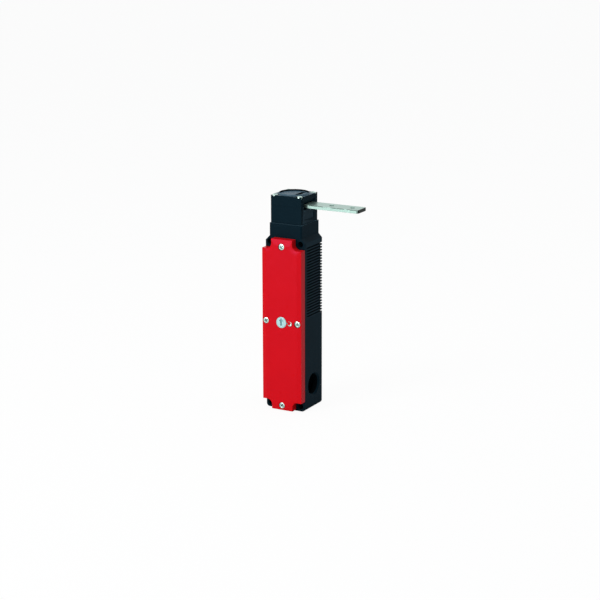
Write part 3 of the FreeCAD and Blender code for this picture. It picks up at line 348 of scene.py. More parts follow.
def turned_top(name, centre, axes, radius, thick, height, steps):
    """A round head: its top is a height over a polar grid, with a wall and a flat underside.

    A point is centre + u·r·cos(t) + v·r·sin(t) + w·h(r, t). h is height(x, y) on the top, runs
    straight down at the rim to minus the thickness, and stays there back to the middle.
    """
    u, v, w = (np.array(axis, float) for axis in axes)
    rings = np.concatenate([np.linspace(0, 0.96, 40), [0.985, 1.0]])
    ratio, angle = polar(np.concatenate([rings, [1.0, 0.0]]), steps)
    x, y = radius * ratio * np.cos(angle), radius * ratio * np.sin(angle)
    # the height function also gives the shade level, by which the finish paints shade into sunk
    # places; the wall and underside get none
    rise, cavity = height(x, y, ratio)
    rise[-2:] = -thick
    cavity[-2:] = 0
    points = np.array(centre) + x[..., None] * u + y[..., None] * v + rise[..., None] * w
    return surface(name, points, cavity=cavity)


def cross_height(sizes, dome, turn):
    """Height of a domed head with a cross pressed into it.

    The dome falls with the square of the radius. The cross is two crossed arms; its floor is flat
    near the middle and rises in a straight slope to the end of each arm.
    """
    soft, steep, end = 0.16 * MM, 1.6, 1.15

    def height(x, y, ratio):
        a = x * math.cos(turn) + y * math.sin(turn)
        b = y * math.cos(turn) - x * math.sin(turn)
        across = np.minimum(np.abs(a), np.abs(b))
        along = np.maximum(np.abs(a), np.abs(b))
        arms = 1 - step(across, sizes.recess_width / 2, soft)
        slope = np.minimum(1, steep * np.clip(end - along / sizes.recess_arm, 0, 1))
        sunk = arms * slope
        # the sunk cross is also given back as the shade level, so painted shade darkens it
        return dome * (1 - ratio ** 2) - sizes.recess_depth * sunk, sunk
    return height


def mount(name):
    """One of the record's mounts."""
    return next(item for item in frame["record"]["mounts"] if item["name"] == name)


def islands(node):
    """The box of each separate solid in a CAD node, sorted by its middle."""
    shape = bmesh.new()
    shape.from_mesh(frame["nodes"][node].data)
    bmesh.ops.remove_doubles(shape, verts=shape.verts, dist=MERGE)
    left, boxes = set(shape.verts), []
    while left:
        group, edge = set(), [left.pop()]
        while edge:
            vert = edge.pop()
            group.add(vert)
            near = {link.other_vert(vert) for link in vert.link_edges} & left
            left -= near
            edge.extend(near)
        points = np.array([vert.co for vert in group])
        boxes.append((points.min(0), points.max(0)))
    shape.free()
    return sorted(boxes, key=lambda box: tuple(np.round((box[0] + box[1]) / 2, 5)))


# ---- materials --------------------------------------------------------------------------------

class Value:
    """A number that varies over a surface; arithmetic on it adds Math nodes."""

    def __init__(self, recipe, socket):
        self.recipe, self.socket = recipe, socket

    def math(self, operation, first, second):
        return self.recipe.node("Math", {"operation": operation}, {0: first, 1: second})

    def beside(self, number):
        """Another output of the same node."""
        return Value(self.recipe, self.socket.node.outputs[number])

    def __add__(self, other):
        return self.math("ADD", self, other)

    def __sub__(self, other):
        return self.math("SUBTRACT", self, other)

    def __rsub__(self, other):
        return self.math("SUBTRACT", other, self)

    def __mul__(self, other):
        return self.math("MULTIPLY", self, other)

    __radd__ = __add__
    __rmul__ = __mul__


class Recipe:
    """A material's node tree."""

    def __init__(self, name, world=None):
        self.owner = world or bpy.data.materials.new(name)
        self.owner.use_nodes = True
        self.tree = self.owner.node_tree
        self.tree.nodes.clear()

    def node(self, kind, settings=None, sockets=None, output=0):
        """Adds a node: its settings first, then the values or links of its sockets."""
        node = self.tree.nodes.new("ShaderNode" + kind)
        for key, value in (settings or {}).items():
            if key == "stops":
                for element, (at, tone) in zip(node.color_ramp.elements, value):
                    element.position, element.color = at, (*tone, 1)
            else:
                setattr(node, key, value)
        for key, value in (sockets or {}).items():
            if isinstance(value, Value):
                self.tree.links.new(value.socket, node.inputs[key])
            else:
                node.inputs[key].default_value = value
        return Value(self, node.outputs[output])

    def blend(self, factor, first, second):
        """A colour between two, of which the first may be a varying one."""
        start = first if isinstance(first, Value) else (*first, 1)
        return self.node("Mix", {"data_type": "RGBA"}, {0: factor, 6: start, 7: (*second, 1)}, 2)

    def level(self, name):
        """A number that the piece's own faces or points carry."""
        return self.node("Attribute", {"attribute_name": name}, output="Fac")

    def noise(self, scale, detail=2.0, stretch=(1, 1, 1)):
        """Noise on the object's own coordinates, drawn out along an axis if stretched."""
        place = self.node("TexCoord", output="Object")
        spread = self.node("Mapping", {}, {"Vector": place, "Scale": stretch})
        return self.node("TexNoise", {}, {"Vector": spread, "Scale": scale, "Detail": detail})

    def end(self, shader, kind="OutputMaterial"):
        """Links the finished shader to the output and gives back the material or world."""
        last = self.tree.nodes.new("ShaderNode" + kind)
        self.tree.links.new(shader.socket, last.inputs["Surface"])
        return self.owner


def shade(tone, factor):
    """A colour made lighter or darker."""
    return tuple(min(1.0, part * factor) for part in tone)


def moulded(name, tone, rough, grain, bump, shine=0.2, drift=0.12, tint=(1, 1, 1)):
    """Moulded plastic: slow tone drift, fine eroded grain and a little scuffing.

    Faces marked for painted shade are darker, as painted shade, and those marked for painted sheen
    are paler, as a painted sheen, and smooth under a clear coat.
    """
    recipe = Recipe(name)
    cloud = recipe.noise(45.0, 3.0)
    fine = recipe.noise(grain, 2.0)
    scuff = recipe.noise(220.0, 5.0)
    base = recipe.blend(cloud, shade(tone, 1 - drift), shade(tone, 1 + drift))
    polish = recipe.level("polish")
    # painted sheen: a much paler tone that stands in for light caught by the marked faces; the same
    # mark also adds a real clear coat
    pale = tuple(0.035 + part for part in shade(tone, 5))
    # painted shade: the marked faces darkened, standing in for the shade that falls on them
    base = recipe.blend(recipe.level("hollow"), base, shade(tone, 0.12))
    base = recipe.blend(polish, base, pale)
    normal = recipe.node("Bump", {}, {"Height": fine, "Strength": bump, "Distance": 0.00005})
    return recipe.end(recipe.node("BsdfPrincipled", {}, {
        "Base Color": base, "Roughness": rough - 0.06 + scuff * 0.12, "Normal": normal,
        "Coat Weight": polish * polish * 0.3, "Coat Roughness": 0.3, "Specular IOR Level": shine,
        "Specular Tint": (*tint, 1)}))


def metal(name, tone, rough, stretch, grain=900.0, bump=0.12, hollow=None):
    """Metal with drawn or turned marks along one way, a slow change of roughness and painted shade
    in its recesses.
    """
    recipe = Recipe(name)
    marks = recipe.noise(grain, 3.0, stretch)
    cloud = recipe.noise(120.0, 2.0)
    base = recipe.blend(marks, shade(tone, 0.86), shade(tone, 1.1))
    if hollow:
        # painted shade: sunk places darkened by the shade level that the piece carries
        base = recipe.blend(recipe.level("cavity") * 0.85, base, hollow)
    normal = recipe.node("Bump", {}, {"Height": marks, "Strength": bump, "Distance": 0.00003})
    return recipe.end(recipe.node("BsdfPrincipled", {}, {
        "Base Color": base, "Metallic": 1.0, "Roughness": rough - 0.05 + cloud * 0.1,
        "Normal": normal}))


def stamped(name, tone):
    """Rolled strip with drawn marks, darker on its front face, with dark blots along the top
    edge of it and a dark end that is painted shade."""
    recipe = Recipe(name)
    low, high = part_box("tongue")
    marks = recipe.noise(1600.0, 3.0, (0.03, 1, 1))
    blot = recipe.noise(700.0, 2.0, (0.25, 1, 1))
    place = recipe.node("SeparateXYZ", {}, {0: recipe.node("TexCoord", output="Object")})
    x, y, z = place, place.beside(1), place.beside(2)
    side_reach, edge_reach, edge_drop, end_reach = 0.3 * MM, 0.35 * MM, 0.55 * MM, 0.7 * MM
    side = recipe.level("sheared") * y.math("LESS_THAN", y, low.y + side_reach)
    edge = (z.math("GREATER_THAN", z, high.z - edge_drop)
            * y.math("LESS_THAN", y, low.y + edge_reach) * blot.math("GREATER_THAN", blot, 0.46))
    end = x.math("GREATER_THAN", x, high.x - end_reach)
    base = recipe.blend(marks, shade(tone, 0.86), shade(tone, 1.1))
    # the last of these, the dark end, is painted shade
    for factor, dark in ((side, shade(tone, 0.66)), (edge, shade(tone, 0.16)),
                         (end, shade(tone, 0.05))):
        base = recipe.blend(factor, base, dark)
    normal = recipe.node("Bump", {}, {"Height": marks, "Strength": 0.25, "Distance": 0.00003})
    return recipe.end(recipe.node("BsdfPrincipled", {}, {
        "Base Color": base, "Metallic": 1.0, "Roughness": 0.3 + blot * 0.1, "Normal": normal}))


def wound(name, tone):
    """Enamelled wire wound in rings: bands along the coil's length."""
    recipe = Recipe(name)
    place = recipe.node("TexCoord", output="Object")
    rings = recipe.node("TexWave", {"bands_direction": "Z"},
                        {"Vector": place, "Scale": 620.0, "Distortion": 0.4})
    base = recipe.blend(rings, shade(tone, 0.45), tone)
    normal = recipe.node("Bump", {}, {"Height": rings, "Strength": 0.5, "Distance": 0.0001})
    return recipe.end(recipe.node("BsdfPrincipled", {}, {
        "Base Color": base, "Metallic": 0.7, "Roughness": 0.32, "Normal": normal}))


def finishes():
    """Every finish of the switch, by the name of its slot. Made once."""
    if not FINISHES:
        tones = bpy.context.scene.switch_colours
        even = (1, 1, 1)
        FINISHES.update({
            "black_plastic": moulded("black_plastic", tones.black, 0.42, 2600.0, 0.3, 0.016, 0.2),
            "red_plastic": moulded("red_plastic", tones.red, 0.3, 2200.0, 0.1, 0.08, 0.05,
                                   (1, 0.35, 1)),
            "grey_plastic": moulded("grey_plastic", tones.grey, 0.5, 2200.0, 0.3),
            "ivory_plastic": moulded("ivory_plastic", tones.ivory, 0.42, 1800.0, 0.15),
            "rubber": moulded("rubber", (0.02, 0.021, 0.022), 0.75, 1500.0, 0.4),
            # the last colour given to each metal here is the painted shade for its sunk places
            "zinc_steel": metal("zinc_steel", tones.zinc, 0.3, even, 1500.0, 0.15,
                                (0.06, 0.12, 0.12)),
            "release_plate": metal("release_plate", tones.disc, 0.36, even, 1800.0, 0.1,
                                   (0.12, 0.27, 0.3)),
            "tongue_steel": stamped("tongue_steel", tones.strip),
            "cam_steel": metal("cam_steel", (0.42, 0.44, 0.45), 0.3, (1, 0.05, 1)),
            "spring_steel": metal("spring_steel", (0.5, 0.51, 0.53), 0.22, even),
            "soft_iron": metal("soft_iron", (0.4, 0.41, 0.42), 0.38, (1, 1, 0.05)),
            "silver_contact": metal("silver_contact", (0.8, 0.79, 0.76), 0.2, even),
            "copper_wire": wound("copper_wire", tones.copper),
        })
    return FINISHES


FINISHES = {}


# ---- operators, one for each piece or group of like pieces -------------------------------------

class PieceOperator:
    """What every operator here shares."""

    bl_options = {"REGISTER"}

    def execute(self, context):
        self.make(context.scene.switch_sizes, finishes())
        return {"FINISHED"}


class SWITCH_OT_housing(PieceOperator, bpy.types.Operator):
    """The grooved housing with its edges rounded, and the gasket in its front"""

    bl_idname = "switch.housing"
    bl_label = "Housing"

    def make(self, sizes, finish):
        body = dressed("housing", "housing_moulding", sizes.housing_edge, "housing",
                       finish["black_plastic"])
        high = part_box("housing")[1]
        floor = high.x - GROOVE_DEPTH
        points = np.empty(3 * len(body.data.vertices), np.float32)
        body.data.vertices.foreach_get("co", points)
        points = points.reshape(-1, 3)
        ends = points[np.abs(points[:, 0] - floor) < SKIN]
        levels = np.unique(np.round(ends[:, 2], 5)).reshape(-1, 2)
        front = ends[:, 1].min()
        cuts = [block("groove", (side * floor - sizes.groove_sink, front, float(bottom)),
                      (side * floor + sizes.groove_sink, high.y + MM, float(top)))
                for side in (-1, 1) for bottom, top in levels]
        carve(body, [joined("grooves", cuts)])
        foot, top = float(levels.min()), levels.max()
        field = foot - BAND
        wall = high.x - SKIN
        parted(body, (0, 0, field), (0, 0, 1),
               lambda middle, normal: abs(normal.x) > 0.9 and abs(middle.x) > wall)
        parted(body, (0, front - BAND, 0), (0, 1, 0),
               lambda middle, normal: abs(normal.x) > 0.9 and abs(middle.x) > wall
               and middle.z > field)
        entry = mount("cable_entry_right")
        entry_y, entry_z = entry["pos_m"][1:]
        margin, middle_room = 0.1 * MM, 5 * MM
        reach = entry["dims"]["r_mm"] * MM + margin

        def hollow(x, y, z, across, deep, tall):
            """Painted shade on the groove floors and flanks, and on the walls of the side cable
            entries.
            """
            beside = np.abs(x)
            groove = ((beside > floor - sizes.groove_sink - margin) & (beside < wall) & (y > front)
                      & (z > foot - margin) & (z < top + margin) & (deep < 0.5))
            bore = ((np.hypot(y - entry_y, z - entry_z) < reach) & (across < 0.8)
                    & (beside > middle_room) & (beside < wall))
            return groove | bore

        def polish(x, y, z, across, deep, tall):
            """Painted sheen and a clear coat: a little on the ridges between the grooves, and fully
            on the ledge under the head.
            """
            ridge = (z > field) & (z < top) & (y > front)
            outer = (np.abs(x) > wall) & (across > 0.9)
            return 0.1 * (outer & ridge) + 1.0 * ((z > high.z - SKIN) & (tall > 0.9))

        mark(body, "hollow", hollow)
        mark(body, "polish", polish)
        finish_nodes(finish["rubber"], "cover_gasket")


class SWITCH_OT_lid(PieceOperator, bpy.types.Operator):
    """The bevelled red lid with its notched corners, left bare"""

    bl_idname = "switch.lid"
    bl_label = "Lid"

    def make(self, sizes, finish):
        """The bevels are cut with a cone at each notch and a wedge at each end.

        Each starts at the lid's side wall, a bevel's rise behind its face, and comes forward to
        the face over the bevel's width.
        """
        lid = dressed("cover", "lid", sizes.lid_edge, "housing",
                      finish["red_plastic"])
        low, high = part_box("cover")
        holes = mount("fixing_holes")
        across = holes["dims"]["spacing_x_mm"] * MM / 2
        along = holes["dims"]["spacing_y_mm"] * MM / 2
        face, shoulder = low.y, low.y + sizes.bevel_rise
        slope = sizes.bevel_width / sizes.bevel_rise
        tilt = sizes.end_bevel / sizes.bevel_rise
        proud, below = 0.5 * MM, 0.02 * MM
        rise = sizes.bevel_rise + proud
        cutters = [frustum("notch", (x, shoulder, z), FRONT_AXES,
                           ((-below, NOTCH - below * slope), (rise, NOTCH + rise * slope)))
                   for x in (-across, across) for z in (-along, along)]
        for end, way in ((high.z, 1), (low.z, -1)):
            cutters.append(prism("end", [
                (shoulder + below, end + way * below * tilt),
                (face - proud, end - way * (sizes.end_bevel + proud * tilt)),
                (face - proud, end + way * below * tilt)], SIDE_AXES, -across, across))
        carve(lid, cutters)
        screws = [(low + high) / 2 for low, high in islands("cover_screws")]

        def hollow(x, y, z, across, deep, tall):
            """Painted shade: a little on the lid's side walls, and more on the walls round its
            screws.
            """
            near = sum(np.hypot(x - spot[0], z - spot[2]) < LID_HOLE for spot in screws) > 0
            return np.maximum(0.28 * (across > 0.8), 0.7 * (near & (deep < 0.8)))

        mark(lid, "hollow", hollow)


class SWITCH_OT_screws(PieceOperator, bpy.types.Operator):
    """Cross-recess screws of the lid and the head: domed heads on the solids' own places"""

    bl_idname = "switch.screws"
    bl_label = "Screws"

    def make(self, sizes, finish):
        for node, name, axes, way, dome, thick, gap in (
                ("cover_screws", "lid_screws", FRONT_AXES, 1, 0.25 * MM, 1.1 * MM, 0.15 * MM),
                ("head_screws", "head_screw_set", TOP_AXES, 2, 0.6 * MM, 1.9 * MM, 0)):
            outward = axes[2][way]
            across = [axis for axis in range(3) if axis != way]
            heads = []
            for number, (low, high) in enumerate(islands(node)):
                radius = (high - low)[across].min() / 2 - gap
                middle = (low + high) / 2
                middle[way] = (low if outward < 0 else high)[way] - outward * dome
                turn = 0.4 + 0.9 * number           # no two crosses stand alike
                heads.append(turned_top(f"{name}_{number}", middle, axes, radius, thick,
                                        cross_height(sizes, dome, turn), sizes.grid))
            add_piece(name, joined(name, heads), "housing", finish["zinc_steel"],
                      (node,))


class SWITCH_OT_release(PieceOperator, bpy.types.Operator):
    """The auxiliary release: a plated disc with a sunk arrow, and the shaft behind it"""

    bl_idname = "switch.release"
    bl_label = "Auxiliary release"

    def make(self, sizes, finish):
        low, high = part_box("release_disc")
        centre = ((low.x + high.x) / 2, low.y, (low.z + high.z) / 2)
        tip, neck, foot = 3.7 * MM, 1.4 * MM, -2.6 * MM
        barb, shaft, soft = 2.1 * MM, 0.6 * MM, 0.18 * MM

        def height(x, y, ratio):
            """Flat, with a shallow chamfer at the rim and an arrow sunk by its depth, which painted
            shade darkens.
            """
            half = np.where(y > neck, barb * (tip - y) / (tip - neck), shaft)
            inside = step(half - np.abs(x), 0, soft) * step(y, foot, soft) * step(tip - y, 0, soft)
            rim = 0.3 * MM * np.clip((ratio - 0.94) / 0.06, 0, 1)
            return -sizes.arrow_depth * inside - rim, inside

        disc = turned_top("release_face", centre, FRONT_AXES, (high.x - low.x) / 2,
                          high.y - low.y, height, 2 * sizes.grid)
        add_piece("release_face", disc, "release", finish["release_plate"],
                  ("release_disc",))
        finish_nodes(finish["zinc_steel"], "release_shaft")
        finish_nodes(finish["rubber"], "release_seal")
        finish_nodes(finish["spring_steel"], "release_clip")


class SWITCH_OT_sealing_eye(PieceOperator, bpy.types.Operator):
    """The sealing eye beside the release: a ring that swells into a crescent low on the right"""

    bl_idname = "switch.sealing_eye"
    bl_label = "Sealing eye"

    def make(self, sizes, finish):
        """The ring is a tube round a circle; t goes round the circle and k round the tube.

        The tube is thin, and thicker by a power of (1 + cos(t - swell)) / 2. A small link stands
        on its left, and a plain stem fills it.
        """
        low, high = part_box("seal_screw")
        middle = (low + high) / 2
        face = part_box("cover")[0].y
        swell, sharpness = -0.75, 2.2
        thin, thick = 0.03 * MM, 0.85 * MM
        sides = 24
        t, k = np.meshgrid(np.arange(sizes.grid) * TURN / sizes.grid,
                           np.arange(sides) * TURN / sides, indexing="ij")
        tube = thin + thick * (0.5 + 0.5 * np.cos(t - swell)) ** sharpness
        reach = sizes.eye_radius + tube * np.cos(k)
        depth = face - 0.4 * tube + 0.8 * tube * np.sin(k)
        ring = surface("eye_ring", np.stack([middle.x + reach * np.cos(t), depth,
                                             middle.z + reach * np.sin(t)], -1), True)
        beside, proud, small = 2.3 * MM, 0.55 * MM, 0.5 * MM
        # the link carries a shade level of 0.7 all over, so painted shade darkens the whole of it
        link = turned_top("eye_link", (middle.x - beside, face - proud, middle.z), FRONT_AXES,
                          small, proud,
                          lambda x, y, ratio: (-0.3 * MM * ratio ** 4, 0.7 + 0 * x), sizes.grid)
        add_piece("sealing_eye", joined("sealing_eye", [ring, link]), "housing",
                  finish["zinc_steel"], ("seal_screw",))
        gap, stem_depth = 0.1 * MM, 4.5 * MM
        stem = turned_top("eye_stem", (middle.x, face, middle.z), FRONT_AXES,
                          sizes.eye_radius - gap, stem_depth,
                          lambda x, y, ratio: (-0.1 * MM * ratio ** 4, 0 * x), sizes.grid)
        add_piece("eye_stem", stem, "housing", finish["red_plastic"])


class SWITCH_OT_head(PieceOperator, bpy.types.Operator):
    """The square actuating head with its edges rounded, and the plate and seal under it"""

    bl_idname = "switch.head"
    bl_label = "Actuating head"

    def make(self, sizes, finish):
        """The head is cut down to its rim, its round top sunk and its rim sloped on the outside.

        Pockets go deeper round the screws, and seams run down the sides and across the front.
        """
        head = dressed("head_housing", "head_moulding", sizes.head_edge, "housing",
                       finish["black_plastic"])
        low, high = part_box("head_housing")
        x, y = (low.x + high.x) / 2, (low.y + high.y) / 2
        rim = high.z - sizes.top_drop
        seam = sizes.seam_depth
        screws = islands("head_screws")
        pads = screws[0][1][2] - 0.7 * MM           # the level that the screw heads stand on
        shoulder = pads + 0.2 * MM                  # the foot of the rim's slope
        inner, outer = HEAD_RIM - sizes.top_rim, HEAD_RIM + 0.9 * MM
        crest = inner + 0.15 * MM
        cutters = [block("above_rim", (low.x - MM, low.y - MM, rim),
                          (high.x + MM, high.y + MM, high.z + MM)),
                   frustum("sunk_top", (x, y, rim), TOP_AXES,
                           ((-sizes.top_sink, inner - 0.2 * MM), (MM, inner))),
                   revolved("rim_slope", (x, y, 0), TOP_AXES,
                            [(crest, rim), (crest, rim + MM), (outer, rim + MM),
                             (outer, shoulder), (HEAD_RIM, shoulder)], ring=True)]
        sunk, clear = 0.8 * MM, 3 * MM
        for screw_low, screw_high in screws:
            spot = (screw_low + screw_high) / 2
            cutters.append(frustum("pocket", (spot[0], spot[1], pads), TOP_AXES,
                                   ((-sunk, POCKET), (clear, POCKET))))
        seam_front, seam_back, seam_top = low.y + 0.55 * MM, low.y + 1.5 * MM, pads - 0.9 * MM
        for side in (low.x, high.x):
            cutters.append(block("corner_seam", (side - seam, seam_front, low.z - MM),
                                 (side + seam, seam_back, seam_top)))
        level, gap, faint, inset = pads - 9.2 * MM, 0.3 * MM, 0.14 * MM, 0.8 * MM
        cutters.append(block("front_seam", (low.x + inset, low.y - MM, level),
                             (high.x - inset, low.y + faint, level + gap)))
        carve(head, cutters)
        half = high.x - x
        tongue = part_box("tongue")[0].z

        def hollow(px, py, pz, across, deep, tall):
            """Painted shade on the upright walls above the pads, in the seams and in the rooms
            behind the slots.
            """
            reach = np.maximum(np.abs(px - x), np.abs(py - y))
            wall = (pz > pads - MM) & (tall < 0.2) & (reach < half - SKIN)
            room = (pz < pads - MM) & (reach < half - 1.4 * MM)
            seams = ((py > seam_front - SKIN) & (py < seam_back + SKIN) & (pz < seam_top + 2 * SKIN)
                     & (np.abs(px - x) < half - SKIN) & (np.abs(px - x) > half - MM))
            return wall | room | seams

        def polish(px, py, pz, across, deep, tall):
            """Painted sheen and a clear coat on the round top with the slope of its rim and on the
            pads; a painted highlight along the front of the side faces, and a little painted sheen
            on the side faces below the tongue.
            """
            top = (tall > 0.2) & (pz > pads - 0.5 * MM)
            side = (across > 0.9) & (np.abs(px - x) > half - 2 * MM)
            strip = side & (py < seam_front + SKIN)
            return 1.0 * top + np.maximum(0.7 * strip, 0.2 * (side & (pz < tongue)))

        mark(head, "hollow", hollow)
        mark(head, "polish", polish)
        finish_nodes(finish["zinc_steel"], "head_plate")
        finish_nodes(finish["rubber"], "head_seal")


class SWITCH_OT_tongue(PieceOperator, bpy.types.Operator):
    """The stamped steel tongue with its edges eased"""

    bl_idname = "switch.tongue"
    bl_label = "Tongue"

    def make(self, sizes, finish):
        """The strip's narrow long faces, which look forwards and back, are the sheared ones."""
        strip = dressed("tongue", "tongue_strip", sizes.tongue_edge, "tongue",
                        finish["tongue_steel"])
        mark(strip, "sheared", lambda x, y, z, across, deep, tall: deep)


class SWITCH_OT_entries(PieceOperator, bpy.types.Operator):
    """The open cable entry's thread, and the plugs in the two that are closed"""

    bl_idname = "switch.entries"
    bl_label = "Cable entries"

    def make(self, sizes, finish):
        """The thread is a tube of x and angle, closed by a plain wall just outside of it.

        Its radius is the bore's less the thread's height times a ridge. The ridge goes from 0 to
        1 and back in a straight line with each pitch along x, shifted by one pitch for each turn.
        """
        entry = mount("cable_entry_right")
        core = entry["dims"]["r_mm"] * MM
        run = entry["dims"]["length_mm"] * MM
        centre = Vector(entry["pos_m"])
        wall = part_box("housing")[1].x
        start, end = wall - FLARE - run, wall - FLARE
        run_in, run_out, play = MM, 0.6 * MM, 0.02 * MM
        back = np.linspace(end, start, 3)
        along = np.linspace(start, end, 61)
        t = np.arange(2 * sizes.grid) * TURN / (2 * sizes.grid)
        x, angle = np.meshgrid(along, t, indexing="ij")
        phase = (x / sizes.thread_pitch - angle / TURN) % 1
        ridge = 1 - np.abs(2 * phase - 1)
        fade = np.clip((x - start) / run_in, 0, 1) * np.clip((end - x) / run_out, 0, 1)
        radius = core - play - sizes.thread_height * ridge * fade
        far, far_angle = np.meshgrid(back, t, indexing="ij")
        x = np.concatenate([x, far])
        angle = np.concatenate([angle, far_angle])
        radius = np.concatenate([radius, np.full_like(far, core - play / 4)])
        points = np.stack([x, centre.y + radius * np.cos(angle),
                           centre.z + radius * np.sin(angle)], -1)
        thread = add_piece("entry_thread", surface("entry_thread", points, True), "housing",
                           finish["black_plastic"])
        # painted shade: the thread is darkened all over, as the inside of the entry lies in shade
        mark(thread, "hollow", lambda *parts: 0.9)
        finish_nodes(finish["grey_plastic"], "plug_left", "plug_below")


class SWITCH_OT_mechanism(PieceOperator, bpy.types.Operator):
    """Cam, plunger, control slide and contacts inside the housing"""

    bl_idname = "switch.mechanism"
    bl_label = "Cam and contacts"

    def make(self, sizes, finish):
        finish_nodes(finish["cam_steel"], "cam", "plunger")
        finish_nodes(finish["spring_steel"], "cam_axle")
        sprung("return_spring", "plunger_slide", finish["spring_steel"])
        finish_nodes(finish["ivory_plastic"], "control_slide", "contact_carrier")
        finish_nodes(finish["silver_contact"], "moving_contacts", "fixed_contacts")
        finish_nodes(finish["grey_plastic"], "contact_block")
        finish_nodes(finish["zinc_steel"], "terminal_screws", "terminal_clamps")


class SWITCH_OT_solenoid(PieceOperator, bpy.types.Operator):
    """Solenoid, lock pin and the fork that the release moves"""

    bl_idname = "switch.solenoid"
    bl_label = "Solenoid and lock"

    def make(self, sizes, finish):
        finish_nodes(finish["zinc_steel"], "solenoid_yoke")
        finish_nodes(finish["ivory_plastic"], "coil_bobbin")
        finish_nodes(finish["copper_wire"], "coil_winding")
        finish_nodes(finish["soft_iron"], "pole_core", "armature")
        finish_nodes(finish["spring_steel"], "lock_pin")
        sprung("lock_spring", "lock_slide", finish["spring_steel"])
        finish_nodes(finish["cam_steel"], "release_fork")


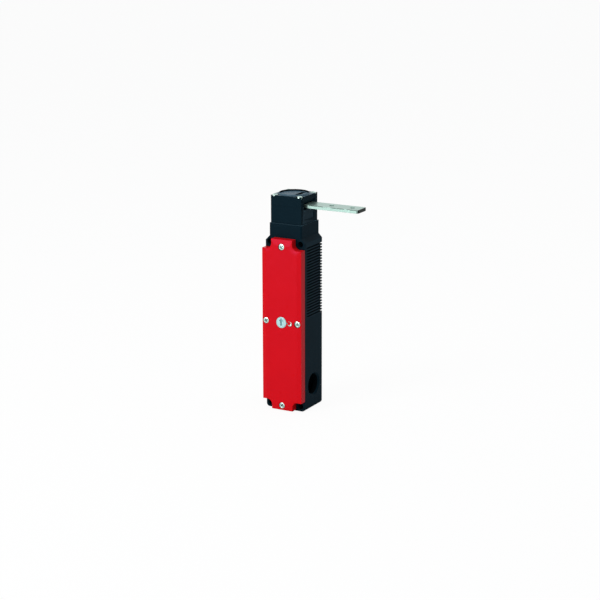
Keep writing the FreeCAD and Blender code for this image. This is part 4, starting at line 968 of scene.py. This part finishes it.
class SWITCH_OT_stage(bpy.types.Operator):
    """Pale floor, soft lamps, white surroundings and the camera"""

    bl_idname = "switch.stage"
    bl_label = "Stage"
    bl_options = {"REGISTER"}

    def execute(self, context):
        self.floor(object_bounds()[0].z)
        self.surroundings(context.scene)
        for lamp in LAMPS:
            self.lamp(*lamp)
        self.camera(context.scene)
        context.scene.view_settings.view_transform = "Standard"
        return {"FINISHED"}

    def floor(self, height):
        """A flat sheet under the foot; a camera sees it near white with a faint shadow."""
        half = 6.0
        mesh = bpy.data.meshes.new("floor")
        mesh.from_pydata([(-half, -half, height), (half, -half, height), (half, half, height),
                          (-half, half, height)], [], [(0, 1, 2, 3)])
        floor = bpy.data.objects.new("floor", mesh)
        bpy.context.scene.collection.objects.link(floor)
        recipe = Recipe("floor_paper")
        plain = recipe.node("BsdfDiffuse", {}, {"Color": (0.86, 0.86, 0.86, 1)})
        white = recipe.node("Emission", {}, {"Color": (1, 1, 1, 1), "Strength": 1.0})
        seen = recipe.node("LightPath", output="Is Camera Ray")
        mixed = recipe.node("MixShader", {}, {0: seen * 0.94, 1: plain, 2: white})
        mesh.materials.append(recipe.end(mixed))
        floor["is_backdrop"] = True

    def surroundings(self, scene):
        """White to the camera, to reflections and through glass; softer as a light."""
        world = bpy.data.worlds.new("surroundings")
        scene.world = world
        recipe = Recipe("surroundings", world)
        seen = recipe.node("LightPath", output="Is Camera Ray")
        shine = recipe.node("LightPath", output="Is Glossy Ray")
        through = recipe.node("LightPath", output="Is Transmission Ray")
        soft = recipe.node("Background", {}, {"Color": (0.93, 0.98, 1.0, 1), "Strength": 0.5})
        white = recipe.node("Background", {}, {"Color": (1, 1, 1, 1), "Strength": 1.0})
        bright = recipe.node("Math", {"operation": "MAXIMUM"},
                             {0: seen, 1: recipe.node("Math", {"operation": "MAXIMUM"},
                                                      {0: shine, 1: through})})
        recipe.end(recipe.node("MixShader", {}, {0: bright, 1: soft, 2: white}), "OutputWorld")

    def lamp(self, name, place, size, level):
        """A square lamp aimed at the switch, whose level is 1 where it alone lights it fully."""
        data = bpy.data.lights.new(name, "AREA")
        data.shape, data.size = "SQUARE", size
        spot, aim = Vector(place), LAMP_AIM
        data.energy = level * math.pi ** 2 * (spot - aim).length_squared
        lamp = bpy.data.objects.new(name, data)
        lamp.location = spot
        lamp.rotation_mode = "QUATERNION"
        lamp.rotation_quaternion = (aim - spot).to_track_quat("-Z", "Y")
        bpy.context.scene.collection.objects.link(lamp)

    def camera(self, scene):
        """A long lens, turned to the right of the front and tilted down."""
        yaw, pitch, roll = (math.radians(angle) for angle in (28.95, 14.55, -0.10))
        distance, aim, sensor, focal = 1.5425, Vector((0.0055, -0.015, 0.01905)), 36.0, 2.917
        back = Vector((math.sin(yaw) * math.cos(pitch), -math.cos(yaw) * math.cos(pitch),
                       math.sin(pitch)))
        right = Vector((math.cos(yaw), math.sin(yaw), 0))
        up = back.cross(right)
        tipped = math.cos(roll) * right + math.sin(roll) * up
        upright = back.cross(tipped)
        data = bpy.data.cameras.new("camera")
        data.sensor_width = sensor
        data.lens = sensor * focal
        data.clip_start, data.clip_end = 0.05, 40
        camera = bpy.data.objects.new("camera", data)
        turn = Matrix((tipped, upright, back)).transposed()
        camera.matrix_world = Matrix.Translation(aim + back * distance) @ turn.to_4x4()
        scene.collection.objects.link(camera)
        scene.camera = camera


LAMP_AIM = Vector((0, -0.015, 0.02))
LAMPS = [
    ("key", (-0.35, -1.0, 1.15), 0.6, 0.36),
    ("window", (-0.48, -1.18, 0.12), 0.28, 0.27),
    ("fill", (1.3, -0.55, 0.35), 0.8, 0.05),
    ("top", (0.1, 0.1, 1.3), 0.6, 0.25),
]

PIECES = (SWITCH_OT_housing, SWITCH_OT_lid, SWITCH_OT_screws, SWITCH_OT_release,
          SWITCH_OT_sealing_eye, SWITCH_OT_head, SWITCH_OT_tongue, SWITCH_OT_entries,
          SWITCH_OT_mechanism, SWITCH_OT_solenoid, SWITCH_OT_stage)


class SWITCH_PT_pieces(bpy.types.Panel):
    """Lists the pieces with their sizes and colours"""

    bl_idname = "SWITCH_PT_pieces"
    bl_label = "Interlock switch"
    bl_space_type = "VIEW_3D"
    bl_region_type = "UI"
    bl_category = "Switch"

    def draw(self, context):
        for group in (context.scene.switch_sizes, context.scene.switch_colours):
            box = self.layout.box()
            for name in group.__annotations__:
                box.prop(group, name)
        for piece in PIECES:
            self.layout.operator(piece.bl_idname)


CLASSES = (SwitchSizes, SwitchColours, *PIECES, SWITCH_PT_pieces)


def register():
    """Makes Blender know the classes and hangs the sizes and colours on the scene."""
    for item in CLASSES:
        bpy.utils.register_class(item)
    bpy.types.Scene.switch_sizes = PointerProperty(type=SwitchSizes)
    bpy.types.Scene.switch_colours = PointerProperty(type=SwitchColours)


def unregister():
    """Takes the classes and the scene's sizes and colours away again."""
    del bpy.types.Scene.switch_sizes
    del bpy.types.Scene.switch_colours
    for item in reversed(CLASSES):
        bpy.utils.unregister_class(item)


def main():
    """Makes every piece and the stage."""
    register()
    for piece in PIECES:
        group, name = piece.bl_idname.split(".")
        getattr(getattr(bpy.ops, group), name)()


if __name__ == "__main__":
    main()
